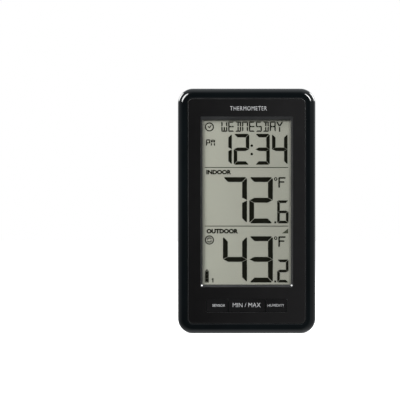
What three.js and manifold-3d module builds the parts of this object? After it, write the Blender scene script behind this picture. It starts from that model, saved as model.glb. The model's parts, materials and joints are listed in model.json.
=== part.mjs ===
// A wireless maximum and minimum thermometer: a display unit with a liquid crystal panel, three front
// keys, three setting keys, two AA cells behind a snap door, a hanging keyhole and a fold-out stand.
// Millimetres, +Z up, the display faces -Y, and the origin is the middle of the base.
import * as THREE from "three";
import { mergeVertices } from "three/addons/utils/BufferGeometryUtils.js";
import Module from "manifold-3d";

const wasm = await Module();
wasm.setup();

// ---- driving dimensions ----
const WIDTH = 85.1;
const HEIGHT = 151.5;
const FRONT_Y = -14; // crown of the rim
const BACK_Y = 14; // flat of the back
const CORNER_R = 9.3;
const SKIN = 2.2; // wall of the two shells
const SEAM = 0.05; // gap between flat layers that lie on each other
const THROUGH = 1; // how far a cutter runs past the wall that it opens

const SPLIT = { front: -2.95, back: -2.65 }; // the two sides of the parting gap
const TONGUE = { outer: 2.5, inner: 3.6, front: -4.6, back: 0.5 };
const RIM = { width: 6.1, crownInset: 3.6, crownDrop: 4.4, innerDrop: 0.45, innerInset: 5.85 };
const LEDGE = { inset: 9, front: -11.6, back: -10.2 }; // shelf of the front case under the face plate
const BACK_ROUND = { start: 8, splitInset: 0.5, startInset: 1.5, endInset: 5.5 };
const BASE_ROUND = 3; // round of the rear bottom edge
const BASE_SKIN = 2.7;

const FACE = { front: -13.3, back: -11.7 };
const WINDOW = { x: 28.5, bottom: 28.8, top: 134.1 }; // the opening at the front of the face plate
const VIEW = { x: 27.3, bottom: 30.3, top: 132.3 }; // the opening at its back
const LENS = { x: 29.3, bottom: 28.2, top: 134.4, front: -11.4, back: -10.2, tape: 1.6 };
const CARRIER = { x: 31, bottom: 26.5, top: 136.5, wall: 1.2, front: -10, back: -6.2 };

const BOARD = { x: 28.8, bottom: 6, top: 145.2, front: -6.1, back: -4.9 };
const ON_BOARD = BOARD.back + SEAM; // where the parts on the back of the board start
const BOARD_SCREWS = [-22, 22].flatMap((x) => [9.2, 142].map((z) => ({ x, z })));
const BOARD_SCREW = { headR: 2, head: 1.2, shankR: 0.8, tip: -9.4 };
const CASE_SCREWS = [-32.5, 32.5].flatMap((x) => [12, 139.5].map((z) => ({ x, z })));
const CASE_SCREW = { headR: 2.7, head: 1.8, shankR: 1.25, seat: 4, tip: -9 };

const KEY_TRAVEL = 0.6;
const KEY_ROW = { x: 25.1, bottom: 13.1, top: 21.4, front: -13.45, gap: 0.25, seam: 0.3 };
const FRONT_KEYS = [
  { name: "sensor", x0: -25.1, x1: -11.45, switchX: -18.3 },
  { name: "min_max", x0: -11.45, x1: 11.45, switchX: 0 },
  { name: "humidity", x0: 11.45, x1: 25.1, switchX: 18.3 },
];
const SETTING_KEYS = [
  { name: "minus", x: -14 },
  { name: "plus", x: 0 },
  { name: "set", x: 14 },
];
const SETTING = { z: 99, halfX: 4.5, halfZ: 2.6, gap: 0.3, flange: 1, back: 13.8 };
const STEM_R = 1.6;
const BRIDGE = { x: 22.5, halfZ: 4.2, front: 5, back: 6.4 }; // guide of the setting keys' stems
const SWITCH = { half: 3, tall: 3.2, plungerR: 1.5, holeR: 1.75, holeDeep: 1, rise: 1.1 };

const CELL = { r: 7.1, length: 50.5, nubR: 2.75, nub: 1.2, y: 4.5, lowerZ: 59.4, upperZ: 75 };
const CELL_END = 28.1; // how far from the middle a cell's positive end lies
const BAY = { x: 28.8, bottom: 51.8, top: 82.6, floorY: -2.8, wall: 2.6, floor: 1.2 };
const CONTACT = { inner: 28.3, outer: 28.7, halfZ: 6, front: -1.5, back: 10.5, tabX: 32.6 };
const SPRING = { baseR: 4.6, topR: 2.3, wireR: 0.45, turns: 4, end: 22.9 };
const DOOR_HOLE = { x: 30.6, bottom: 50, top: 84.4, seatY: 12.1 };
const DOOR = { gap: 0.3, front: 12.3, back: 13.8 };
const LATCH = { x: 6.2, top: 87.5, front: 12.7, gap: 0.4 };
const DOOR_TAB = { at: [-20, 20], half: 3, gap: 0.3, front: 10.4, back: 11.6, bottom: 48.6 };

const STAND = { x: 22, bottom: 6, top: 46.2, front: 11.2, back: 13.8, ribY: 10.3 };
const PIVOT = { y: 12, z: 6.2, barrelR: 1.8, pinR: 1.1, pinX: 23.2, socketR: 1.25, socketX: 23.7 };
const STAND_BAY = { x: 22.4, bottom: 3.4, top: 46.6, floorY: 10, wall: 2.2, endWall: 1.6 };
const THUMB = { r: 9, z: 51.5 }; // round cut in the free edge of the stand

const HANGER = { entryR: 4.3, entryZ: 128.5, slotR: 2.2, slotZ: 135.5 };
const POCKET = { x: 6, bottom: 123.3, top: 139.7, floorY: 7.3, wall: 1.5 };
const VENTS = { x: [-31, -15], firstZ: 111, pitch: 2.9, count: 6, tall: 1.4 };

const RECEIVER = { x: [8, 27], z: [107, 131], y: [-3, -2] };
const COIL = { r: 2.5, wireR: 0.35, turns: 9, x: [9.5, 25.5], y: 1.5, z: 127 };
const LEAD_R = 0.65;

const LOOKS = {
  gloss: { color: 0x14161a, roughness: 0.12, metalness: 0 },
  satin: { color: 0x1b1b1d, roughness: 0.35, metalness: 0 },
  shell: { color: 0x1d1e20, roughness: 0.65, metalness: 0 },
  clear: { color: 0xe8ecec, roughness: 0.05, metalness: 0, transparent: true, opacity: 0.3 },
  panel: { color: 0xa4a698, roughness: 0.5, metalness: 0 },
  carrier: { color: 0xdad8d0, roughness: 0.6, metalness: 0 },
  rubber: { color: 0x35322f, roughness: 0.8, metalness: 0 },
  board: { color: 0x1f5a33, roughness: 0.5, metalness: 0 },
  epoxy: { color: 0x101010, roughness: 0.3, metalness: 0 },
  nickel: { color: 0xc6c4be, roughness: 0.25, metalness: 1 },
  copper: { color: 0xb87333, roughness: 0.35, metalness: 1 },
  ceramic: { color: 0xe6e2d6, roughness: 0.6, metalness: 0 },
  wrapper: { color: 0x2f5f86, roughness: 0.35, metalness: 0.2 },
  foam: { color: 0x4a4a4c, roughness: 0.95, metalness: 0 },
  red: { color: 0xa02018, roughness: 0.5, metalness: 0 },
  black: { color: 0x161616, roughness: 0.5, metalness: 0 },
};

// ---- solids ----

// A three.js geometry as a manifold-3d solid, turned right side out.
function solid(geometry) {
  const bare = geometry.clone();
  bare.deleteAttribute("normal");
  bare.deleteAttribute("uv");
  const merged = mergeVertices(bare, 1e-4);
  const triVerts = new Uint32Array(merged.index.array);
  const vertProperties = new Float32Array(merged.attributes.position.array);
  const made = new wasm.Manifold(new wasm.Mesh({ numProp: 3, vertProperties, triVerts }));
  if (made.volume() > 0) return made;
  triVerts.reverse();
  return new wasm.Manifold(new wasm.Mesh({ numProp: 3, vertProperties, triVerts }));
}

// A manifold-3d solid as a three.js geometry.
function geometryOf(made) {
  const mesh = made.getMesh();
  return new THREE.BufferGeometry()
    .setAttribute("position", new THREE.BufferAttribute(new Float32Array(mesh.vertProperties), 3))
    .setIndex(new THREE.BufferAttribute(new Uint32Array(mesh.triVerts), 1));
}

const join = (...solids) => solids.reduce((sum, next) => sum.add(next));
const cut = (body, ...tools) => tools.reduce((left, tool) => left.subtract(tool), body);
const around = (middle, half) => [middle - half, middle + half];

function box([x0, x1], [y0, y1], [z0, z1]) {
  const geometry = new THREE.BoxGeometry(x1 - x0, y1 - y0, z1 - z0);
  geometry.translate((x0 + x1) / 2, (y0 + y1) / 2, (z0 + z1) / 2);
  return solid(geometry);
}

// A round bar along Y at (x, z).
function barY(x, z, r, [y0, y1], sides = 16) {
  const geometry = new THREE.CylinderGeometry(r, r, y1 - y0, sides);
  geometry.translate(x, (y0 + y1) / 2, z);
  return solid(geometry);
}

// A round bar along X at (y, z).
function barX(y, z, r, [x0, x1], sides = 16) {
  const geometry = new THREE.CylinderGeometry(r, r, x1 - x0, sides);
  geometry.rotateZ(Math.PI / 2);
  geometry.translate((x0 + x1) / 2, y, z);
  return solid(geometry);
}

// A flat plate with round corners: x and z ranges, corner radius, y range.
function plate([x0, x1], [z0, z1], r, [y0, y1]) {
  const shape = new THREE.Shape();
  shape.absarc(x1 - r, z0 + r, r, -Math.PI / 2, 0);
  shape.absarc(x1 - r, z1 - r, r, 0, Math.PI / 2);
  shape.absarc(x0 + r, z1 - r, r, Math.PI / 2, Math.PI);
  shape.absarc(x0 + r, z0 + r, r, Math.PI, Math.PI * 1.5);
  const options = { depth: y1 - y0, bevelEnabled: false, curveSegments: 4 };
  const geometry = new THREE.ExtrudeGeometry(shape, options);
  geometry.rotateX(Math.PI / 2);
  geometry.translate(0, y1, 0);
  return solid(geometry);
}

// A wire of round section along a curve.
function wire(curve, r, steps, sides = 8) {
  const section = new THREE.Shape();
  section.absarc(0, 0, r, 0, Math.PI * 2);
  const options = { extrudePath: curve, steps, curveSegments: sides / 2 };
  return solid(new THREE.ExtrudeGeometry(section, options));
}

// A helix along X whose radius may change; it starts on the -Y side of its axis.
class Helix extends THREE.Curve {
  constructor({ x, y, z, r, turns }) {
    super();
    Object.assign(this, { x, y, z, r, turns });
  }

  getPoint(t, target = new THREE.Vector3()) {
    const angle = t * this.turns * Math.PI * 2;
    const r = this.r[0] + (this.r[1] - this.r[0]) * t;
    const x = this.x[0] + (this.x[1] - this.x[0]) * t;
    return target.set(x, this.y - r * Math.cos(angle), this.z + r * Math.sin(angle));
  }
}

// ---- the case outline ----

const CORNER_STEPS = 6;

// Points of the case outline, drawn in by a distance at the sides, the top and the bottom.
function outline(side, top, bottom) {
  const least = 0.8;
  const rx = Math.max(CORNER_R - side, least);
  const points = [];
  for (let corner = 0; corner < 4; corner++) {
    const right = corner === 0 || corner === 3;
    const upper = corner < 2;
    const rz = Math.max(CORNER_R - (upper ? top : bottom), least);
    const cx = (right ? 1 : -1) * (WIDTH / 2 - side - rx);
    const cz = upper ? HEIGHT - top - rz : bottom + rz;
    for (let i = 0; i <= CORNER_STEPS; i++) {
      const angle = ((corner + i / CORNER_STEPS) * Math.PI) / 2;
      points.push([cx + rx * Math.cos(angle), cz + rz * Math.sin(angle)]);
    }
  }
  return points;
}

// Joins loops of points into a surface: a closed ring of loops, or a stack with both ends filled.
function skinned(loops, closed) {
  const rows = loops.length;
  const perRow = loops[0].length;
  const at = (row, i) => (row % rows) * perRow + (i % perRow);
  const index = [];
  for (let row = 0; row < (closed ? rows : rows - 1); row++) {
    for (let i = 0; i < perRow; i++) {
      index.push(at(row, i), at(row, i + 1), at(row + 1, i + 1));
      index.push(at(row, i), at(row + 1, i + 1), at(row + 1, i));
    }
  }
  for (let i = 1; !closed && i < perRow - 1; i++) {
    index.push(at(0, 0), at(0, i + 1), at(0, i));
    index.push(at(rows - 1, 0), at(rows - 1, i), at(rows - 1, i + 1));
  }
  const geometry = new THREE.BufferGeometry()
    .setAttribute("position", new THREE.Float32BufferAttribute(loops.flat(2), 3))
    .setIndex(index);
  return solid(geometry);
}

const outlineAt = (y, side, top, bottom) => outline(side, top, bottom).map(([x, z]) => [x, y, z]);

// A ring that follows the outline, from the [inset, y] points round its section.
const outlineRing = (section) =>
  skinned(
    section.map(([inset, y]) => outlineAt(y, inset, inset, inset)),
    true,
  );

// The points of a quarter round: [how far in, how far along], both from 0 to 1.
function quarter(steps) {
  const angles = Array.from({ length: steps + 1 }, (_, i) => (i / steps) * (Math.PI / 2));
  return angles.map((angle) => [1 - Math.cos(angle), Math.sin(angle)]);
}

// ---- assembly ----

const thermometer = new THREE.Group();

function add(name, made, look) {
  const mesh = new THREE.Mesh(geometryOf(made), new THREE.MeshStandardMaterial(LOOKS[look]));
  mesh.name = name;
  thermometer.add(mesh);
}

// The glossy rim, its shelf for the face plate, the bosses of the case screws and the board's posts.
function frontCase() {
  const roundStart = FRONT_Y + RIM.crownDrop;
  const round = quarter(6).map(([inwards, along]) => [
    RIM.crownInset * inwards,
    roundStart - RIM.crownDrop * along,
  ]);
  let made = outlineRing([
    [0, SPLIT.front],
    ...round,
    [RIM.innerInset - 1, FRONT_Y + RIM.innerDrop / 3],
    [RIM.innerInset, FRONT_Y + RIM.innerDrop],
    [RIM.innerInset, LEDGE.front],
    [LEDGE.inset, LEDGE.front],
    [LEDGE.inset, LEDGE.back],
    [SKIN, LEDGE.back],
    [SKIN, SPLIT.front],
  ]);
  for (const { x, z } of CASE_SCREWS) {
    made = join(made, barY(x, z, 3, [LEDGE.front, SPLIT.front - 0.25]));
    made = cut(made, barY(x, z, 1.45, [CASE_SCREW.tip - 0.5, SPLIT.back]));
  }
  for (const { x, z } of BOARD_SCREWS) {
    made = join(made, barY(x, z, 2.2, [LEDGE.front, BOARD.front - 2 * SEAM], 12));
    made = cut(made, barY(x, z, 0.95, [BOARD_SCREW.tip - 0.4, BOARD.back], 12));
  }
  add("front_case", made, "gloss");
}

// The inset face, with the bevelled window and the opening of the key row.
function facePlate() {
  const x = WIDTH / 2 - RIM.width;
  const z = [RIM.width, HEIGHT - RIM.width];
  const body = plate(around(0, x), z, CORNER_R - RIM.width, [FACE.front, FACE.back]);
  const windowAt = (t) => {
    const y = FACE.front + (FACE.back - FACE.front) * t;
    const side = WINDOW.x + (VIEW.x - WINDOW.x) * t;
    const low = WINDOW.bottom + (VIEW.bottom - WINDOW.bottom) * t;
    const high = WINDOW.top + (VIEW.top - WINDOW.top) * t;
    return [
      [-side, y, low],
      [side, y, low],
      [side, y, high],
      [-side, y, high],
    ];
  };
  const keyHoleY = [FACE.front - THROUGH, FACE.back + THROUGH];
  const keyHole = plate(around(0, KEY_ROW.x), [KEY_ROW.bottom, KEY_ROW.top], 0.8, keyHoleY);
  add("face_plate", cut(body, skinned([windowAt(-0.4), windowAt(1.2)], false), keyHole), "satin");
}

// The lens, its tape, and the liquid crystal stack in its carrier.
function display() {
  const tapeY = [FACE.back + SEAM, LENS.front - SEAM];
  const tapeHole = plate(
    around(0, LENS.x - LENS.tape),
    [LENS.bottom + LENS.tape, LENS.top - LENS.tape],
    0.4,
    [tapeY[0] - THROUGH, tapeY[1] + THROUGH],
  );
  const lensZ = [LENS.bottom, LENS.top];
  add("lens_tape", cut(plate(around(0, LENS.x), lensZ, 0.8, tapeY), tapeHole), "rubber");
  add("display_lens", plate(around(0, LENS.x), lensZ, 0.8, [LENS.front, LENS.back]), "clear");

  const layers = [
    { name: "lcd_polarizer", x: 28.6, z: [29.2, 133.4], y: [-9.9, -9.7], look: "panel" },
    { name: "lcd_front_glass", x: 29.4, z: [28, 134.9], y: [-9.65, -8.55], look: "clear" },
    { name: "lcd_rear_glass", x: 29.4, z: [30.6, 132], y: [-8.5, -7.4], look: "clear" },
    { name: "lcd_reflector", x: 28.8, z: [31, 131.6], y: [-7.35, -7.1], look: "panel" },
  ];
  for (const { name, x, y, z, look } of layers) add(name, box(around(0, x), y, z), look);

  const inner = CARRIER.x - CARRIER.wall;
  const innerZ = [CARRIER.bottom + CARRIER.wall, CARRIER.top - CARRIER.wall];
  const depth = [CARRIER.front, CARRIER.back];
  const through = [CARRIER.front - THROUGH, CARRIER.back + THROUGH];
  const outer = box(around(0, CARRIER.x), depth, [CARRIER.bottom, CARRIER.top]);
  let carrier = cut(outer, box(around(0, inner), through, innerZ));
  for (const z of [62, 102]) {
    carrier = join(carrier, box(around(0, inner + 0.5), [-7, CARRIER.back], around(z, 2)));
  }
  add("display_frame", carrier, "carrier");

  const stripY = [-8.5, BOARD.front - SEAM];
  add("zebra_strip_upper", box([-26, 26], stripY, [132.6, 134.6]), "rubber");
  add("zebra_strip_lower", box([-26, 26], stripY, [28.2, 30.2]), "rubber");
}

// The main board and the parts soldered on its back.
function mainBoard() {
  let made = plate(around(0, BOARD.x), [BOARD.bottom, BOARD.top], 1, [BOARD.front, BOARD.back]);
  for (const { x, z } of BOARD_SCREWS) {
    made = cut(made, barY(x, z, 1.15, [BOARD.front - THROUGH, BOARD.back + THROUGH], 12));
  }
  add("main_board", made, "board");

  const blob = { r: 5.5, rise: 1.5, foot: 0.3 };
  const dome = quarter(4).map(([inwards, along]) => {
    const r = Math.max(blob.r * (1 - inwards), 0);
    return new THREE.Vector2(r < 1e-6 ? 0 : r, blob.foot + blob.rise * along);
  });
  const profile = [new THREE.Vector2(0, 0), new THREE.Vector2(blob.r, 0), ...dome];
  const blobShape = new THREE.LatheGeometry(profile, 20);
  blobShape.translate(-8, ON_BOARD, 30);
  add("driver_chip_blob", solid(blobShape), "epoxy");

  const can = { r: 1.1, length: 6, x: 10, z: 30 };
  const crystal = new THREE.CylinderGeometry(can.r, can.r, can.length, 12);
  crystal.rotateX(Math.PI / 2);
  crystal.translate(can.x, ON_BOARD + can.r, can.z);
  add("clock_crystal", solid(crystal), "nickel");
  add("filter_capacitor", barY(18, 38, 3, [ON_BOARD, ON_BOARD + 6]), "black");
  const humidity = join(
    plate([-27, -20], [124, 131], 0.6, [ON_BOARD, ON_BOARD + 1.2]),
    plate([-26, -21], [125, 130], 0.6, [ON_BOARD + 1, ON_BOARD + 2.4]),
  );
  add("humidity_sensor", humidity, "ceramic");
  add("thermistor", thermistor(), "epoxy");
}

// A bead that stands behind the vents on two stiff legs.
function thermistor() {
  const bead = new THREE.SphereGeometry(1.3, 14, 8);
  bead.translate(-23, 6, 118);
  const legs = [-0.8, 0.8].map((side) => box(around(-23 + side, 0.25), [ON_BOARD, 6], around(118, 0.25)));
  return join(solid(bead), ...legs);
}

// The radio: a small board on pins, its chip and crystal, and a wound antenna.
function receiver() {
  const pins = [10, 12.5, 15, 17.5, 20, 22.5, 25].map((x) =>
    box(around(x, 0.3), [ON_BOARD, RECEIVER.y[0] + 0.5], around(RECEIVER.z[0] + 1.5, 0.3)),
  );
  add("receiver_board", join(box(RECEIVER.x, RECEIVER.y, RECEIVER.z), ...pins), "board");
  const onTop = RECEIVER.y[1] + SEAM;
  add("receiver_chip", box([11, 16], [onTop, onTop + 1.2], [112, 116]), "epoxy");
  add("receiver_crystal", plate([18, 25], [112, 116], 1.9, [onTop, onTop + 2.6]), "nickel");

  const winding = new Helix({ ...COIL, r: [COIL.r, COIL.r] });
  const legY = [onTop, COIL.y - COIL.r + 0.1];
  const legs = COIL.x.map((x) => barY(x, COIL.z, COIL.wireR, legY, 8));
  const coil = wire(winding, COIL.wireR, COIL.turns * 10, 6);
  add("antenna_coil", join(coil, ...legs), "copper");
}

// A tact switch seat: its body stands from one face of the board, and its plunger is a piece apart.
function tactSwitch(label, x, z, boardFace, direction) {
  const range = (near, far) =>
    [boardFace + direction * near, boardFace + direction * far].sort((a, b) => a - b);
  const top = SWITCH.tall + 2 * SEAM;
  const body = box(around(x, SWITCH.half), range(2 * SEAM, top), around(z, SWITCH.half));
  const hole = barY(x, z, SWITCH.holeR, range(top - SWITCH.holeDeep, top + THROUGH));
  add(`switch_body_${label}`, cut(body, hole), "epoxy");
  const foot = top - SWITCH.holeDeep + KEY_TRAVEL + 0.1;
  const plunger = barY(x, z, SWITCH.plungerR, range(foot, foot + SWITCH.rise), 12);
  add(`switch_plunger_${label}`, plunger, "ceramic");
  return boardFace + direction * (foot + SWITCH.rise);
}

// The three keys of the front: a cap, a flange behind the face plate, and a post to the switch.
function frontKeys() {
  const { bottom, top, gap, seam, front } = KEY_ROW;
  for (const { name, x0, x1, switchX } of FRONT_KEYS) {
    const switchZ = (bottom + top) / 2;
    const plungerTip = tactSwitch(name, switchX, switchZ, BOARD.front, -1);
    const x = [x0 + (x0 === -KEY_ROW.x ? gap : seam / 2), x1 - (x1 === KEY_ROW.x ? gap : seam / 2)];
    const cap = plate(x, [bottom + gap, top - gap], 0.6, [front, -11]);
    const flange = plate(x, [bottom - 0.95, top + 0.95], 0.6, [FACE.back + 0.2, -10.7]);
    const post = barY(switchX, switchZ, STEM_R, [-11, plungerTip - SEAM], 12);
    add(`key_${name}`, join(cap, flange, post), "satin");
  }
}

// The three setting keys of the back: a cap, a flange inside the wall, and a long stem.
function settingKeys() {
  const { z, halfX, halfZ, flange, back } = SETTING;
  const flangeY = [10.6, BACK_Y - SKIN - 0.2];
  for (const { name, x } of SETTING_KEYS) {
    const plungerTip = tactSwitch(name, x, z, BOARD.back, 1);
    const cap = plate(around(x, halfX), around(z, halfZ), halfZ - 0.1, [11, back]);
    const stop = plate(around(x, halfX + flange), around(z, halfZ + flange), 1, flangeY);
    const stem = barY(x, z, STEM_R, [plungerTip + SEAM, 11], 12);
    add(`key_${name}`, join(cap, stop, stem), "rubber");
  }
}

// How far the rear bottom edge has rounded in at a depth.
function baseInset(y) {
  const past = Math.max(y - (BACK_Y - BASE_ROUND), 0);
  return BASE_ROUND - Math.sqrt(BASE_ROUND ** 2 - past ** 2);
}

// The plain back shell: an outer stack of outlines less an inner one, and the tongue of the joint.
function rearShell() {
  const { start, splitInset, startInset, endInset } = BACK_ROUND;
  const round = quarter(6).map(([inwards, along]) => ({
    y: start + (BACK_Y - start) * along,
    innerY: start + (BACK_Y - SKIN - start) * along,
    inset: startInset + (endInset - startInset) * inwards,
  }));
  const layers = [{ y: SPLIT.back, innerY: SPLIT.back - THROUGH, inset: splitInset }, ...round];
  const outer = layers.map(({ y, inset }) => outlineAt(y, inset, inset, baseInset(y)));
  const inner = layers.map(({ y, innerY, inset }) =>
    outlineAt(innerY, inset + SKIN, inset + SKIN, baseInset(y) + BASE_SKIN),
  );
  const tongue = outlineRing([
    [TONGUE.outer, TONGUE.front],
    [TONGUE.outer, TONGUE.back],
    [TONGUE.inner, TONGUE.back],
    [TONGUE.inner, TONGUE.front],
  ]);
  return join(cut(skinned(outer, false), skinned(inner, false)), tongue);
}

const INTO_WALL = BACK_Y - 1.5; // depth that inner walls reach to join the back
const OUT = BACK_Y + THROUGH;

// The walls that stand inside the back shell.
function rearWalls() {
  const { x, bottom, top, floorY, wall, floor } = BAY;
  const tray = box(around(0, x + wall), [floorY - floor, DOOR_HOLE.seatY], [bottom - wall, top + wall]);
  const bay = STAND_BAY;
  const recess = box(
    around(0, bay.x + bay.wall),
    [bay.floorY - 1.6, INTO_WALL],
    [bay.bottom - bay.endWall, bay.top + bay.endWall],
  );
  const bridge = box(around(0, BRIDGE.x), [BRIDGE.front, BRIDGE.back], around(SETTING.z, BRIDGE.halfZ));
  const legs = [-1, 1].map((side) =>
    box(around(side * (BRIDGE.x - 0.7), 0.7), [BRIDGE.front, INTO_WALL], around(SETTING.z, BRIDGE.halfZ)),
  );
  const pocket = box(
    around(0, POCKET.x + POCKET.wall),
    [POCKET.floorY - POCKET.wall, INTO_WALL],
    [POCKET.bottom - POCKET.wall, POCKET.top + POCKET.wall],
  );
  const bosses = CASE_SCREWS.map((at) => barY(at.x, at.z, 4, [SPLIT.back - 0.25, INTO_WALL]));
  return [tray, recess, bridge, ...legs, pocket, ...bosses];
}

// The battery bay: its hollow, the door's seat, and the notches of the door and the contacts.
function bayCuts() {
  const { x, bottom, top, floorY, wall } = BAY;
  const tabs = DOOR_TAB.at.map((at) =>
    box(
      around(at, DOOR_TAB.half + DOOR_TAB.gap),
      [DOOR_TAB.front - 0.8, DOOR_HOLE.seatY + 0.1],
      [bottom - wall - THROUGH, bottom + THROUGH],
    ),
  );
  const latch = box(
    around(0, LATCH.x + LATCH.gap),
    [LATCH.front - DOOR.gap, OUT],
    [DOOR_HOLE.top - 0.1, LATCH.top + LATCH.gap],
  );
  const slots = [CELL.upperZ, CELL.lowerZ].map((z) =>
    box([-BAY.x - wall - THROUGH, -CONTACT.outer], [-1.2, -0.4], around(z, 1.7)),
  );
  return [
    box(around(0, x), [floorY, OUT], [bottom, top]),
    box(around(0, DOOR_HOLE.x), [DOOR_HOLE.seatY, OUT], [DOOR_HOLE.bottom, DOOR_HOLE.top]),
    ...tabs,
    latch,
    ...slots,
  ];
}

// Ribs that hold the contact plates against the end walls of the bay.
function contactRibs() {
  const ribX = [27.4, CONTACT.inner - 0.1];
  const heights = [
    [BAY.bottom - 0.1, BAY.bottom + 2.2],
    [65, 69.4],
    [BAY.top - 2.2, BAY.top + 0.1],
  ];
  return heights.flatMap((z) => [
    box(ribX, [BAY.floorY - 0.1, 8], z),
    box([-ribX[1], -ribX[0]], [BAY.floorY - 0.1, 8], z),
  ]);
}

// The stand's recess and the sockets of its pivot.
function standCuts() {
  const { x, bottom, top, floorY } = STAND_BAY;
  const hollow = box(around(0, x), [floorY, OUT], [bottom, top]);
  return [hollow, barX(PIVOT.y, PIVOT.z, PIVOT.socketR, around(0, PIVOT.socketX))];
}

// The keyhole in the back wall and the pocket behind it.
function hangerCuts() {
  const through = [BACK_Y - SKIN - THROUGH, OUT];
  return [
    box(around(0, POCKET.x), [POCKET.floorY, BACK_Y - SKIN], [POCKET.bottom, POCKET.top]),
    barY(0, HANGER.entryZ, HANGER.entryR, through, 24),
    barY(0, HANGER.slotZ, HANGER.slotR, through),
    box(around(0, HANGER.slotR), through, [HANGER.entryZ, HANGER.slotZ]),
  ];
}

function rearCase() {
  const { z, halfX, halfZ, gap } = SETTING;
  const keyHoles = SETTING_KEYS.flatMap(({ x }) => [
    plate(around(x, halfX + gap), around(z, halfZ + gap), halfZ, [BACK_Y - SKIN - THROUGH, OUT]),
    barY(x, z, STEM_R + gap, [BRIDGE.front - THROUGH, BRIDGE.back + THROUGH]),
  ]);
  const vents = Array.from({ length: VENTS.count }, (_, i) =>
    box(VENTS.x, [BACK_Y - SKIN - THROUGH, OUT], around(VENTS.firstZ + i * VENTS.pitch, VENTS.tall / 2)),
  );
  const screwHoles = CASE_SCREWS.flatMap((at) => [
    barY(at.x, at.z, CASE_SCREW.headR + 0.2, [CASE_SCREW.seat, OUT], 20),
    barY(at.x, at.z, CASE_SCREW.shankR + 0.35, [SPLIT.back - THROUGH, CASE_SCREW.seat + THROUGH]),
  ]);
  const walled = join(rearShell(), ...rearWalls());
  const holes = [...bayCuts(), ...standCuts(), ...hangerCuts(), ...keyHoles, ...vents, ...screwHoles];
  add("rear_case", join(cut(walled, ...holes), ...contactRibs()), "shell");
}

// The battery door: a plate with two hook tabs below and a latch tab above, and its foam pad.
function batteryDoor() {
  const x = DOOR_HOLE.x - DOOR.gap;
  const z = [DOOR_HOLE.bottom + DOOR.gap, DOOR_HOLE.top - DOOR.gap];
  const panel = plate(around(0, x), z, 0.6, [DOOR.front, DOOR.back]);
  const latch = plate(around(0, LATCH.x), [z[1] - 2, LATCH.top], 1, [LATCH.front, DOOR.back]);
  const tabs = DOOR_TAB.at.flatMap((at) => [
    box(around(at, DOOR_TAB.half), [DOOR_TAB.front, DOOR_TAB.back], [DOOR_TAB.bottom, z[0] + 1.2]),
    box(around(at, DOOR_TAB.half), [DOOR_TAB.front, DOOR.front + 0.3], [z[0], z[0] + 1.2]),
  ]);
  add("battery_door", join(panel, latch, ...tabs), "shell");
  add("door_foam_pad", box([-18, 18], [11.75, DOOR.front - SEAM], [64, 70]), "foam");
}

// An AA cell along X; toward is the side of its positive end.
function cell(label, z, toward) {
  const { r, length, nubR, nub, y } = CELL;
  const shoulder = length - nub;
  const profile = [
    [0, 0],
    [r - 0.5, 0],
    [r, 0.5],
    [r, shoulder - 0.8],
    [r - 0.8, shoulder],
    [nubR, shoulder],
    [nubR, length],
    [0, length],
  ].map(([radius, along]) => new THREE.Vector2(radius, along));
  const geometry = new THREE.LatheGeometry(profile, 24);
  geometry.rotateZ((-toward * Math.PI) / 2);
  geometry.translate(toward * (CELL_END - length), y, z);
  add(`battery_${label}`, solid(geometry), "wrapper");
}

// A flat contact plate at one end wall of the bay.
const contactPlate = (side, z) =>
  box(
    [side * CONTACT.inner, side * CONTACT.outer].sort((a, b) => a - b),
    [CONTACT.front, CONTACT.back],
    z,
  );

// The tab that leads a contact out through the bay's wall.
const contactTab = (z) => box([-CONTACT.tabX, -CONTACT.outer + 0.2], [-1, -0.6], around(z, 1.5));

// A conical spring from a contact plate to the flat end of a cell.
function contactSpring(side, z) {
  const { baseR, topR, wireR, turns, end } = SPRING;
  const x = [side * (CONTACT.inner + 0.1), side * end];
  const winding = new Helix({ x, y: CELL.y, z, r: [baseR, topR], turns });
  return wire(winding, wireR, turns * 12, 6);
}

function power() {
  cell("upper", CELL.upperZ, -1);
  cell("lower", CELL.lowerZ, 1);
  const upper = around(CELL.upperZ, CONTACT.halfZ);
  const lower = around(CELL.lowerZ, CONTACT.halfZ);
  const positive = join(contactPlate(-1, upper), contactTab(CELL.upperZ));
  const negative = join(
    contactPlate(-1, lower),
    contactTab(CELL.lowerZ),
    contactSpring(-1, CELL.lowerZ),
  );
  const bridge = join(contactPlate(1, [lower[0], upper[1]]), contactSpring(1, CELL.upperZ));
  add("battery_contact_positive", positive, "nickel");
  add("battery_contact_negative", negative, "nickel");
  add("battery_contact_bridge", bridge, "nickel");
}

// The battery leads: from a contact's tab, up beside the bay and across to the board.
const LEAD_X = -CONTACT.tabX - LEAD_R - 0.15;
const LEAD_ROUTES = {
  red: [
    [LEAD_X, -0.8, CELL.upperZ],
    [-33.9, 0.2, 80],
    [-33.7, 0.4, 86],
    [-31.5, 0.2, 90.4],
    [-28.2, -1, 91.4],
    [-25.7, -2.6, 91.6],
    [-25.4, ON_BOARD + 0.3, 91.6],
  ],
  black: [
    [LEAD_X, -0.8, CELL.lowerZ],
    [-34.6, -1.6, 64],
    [-35.6, -2.2, 72],
    [-35.6, -2.4, 80],
    [-34.4, -2.5, 85.6],
    [-31.4, -2.8, 87.4],
    [-27.4, -3, 87.6],
    [-24.6, -3.3, 87.6],
    [-24.1, ON_BOARD + 0.3, 87.6],
  ],
};

function leads() {
  for (const [colour, route] of Object.entries(LEAD_ROUTES)) {
    const points = route.map((at) => new THREE.Vector3(...at));
    add(`battery_lead_${colour}`, wire(new THREE.CatmullRomCurve3(points), LEAD_R, 28), colour);
  }
}

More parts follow.
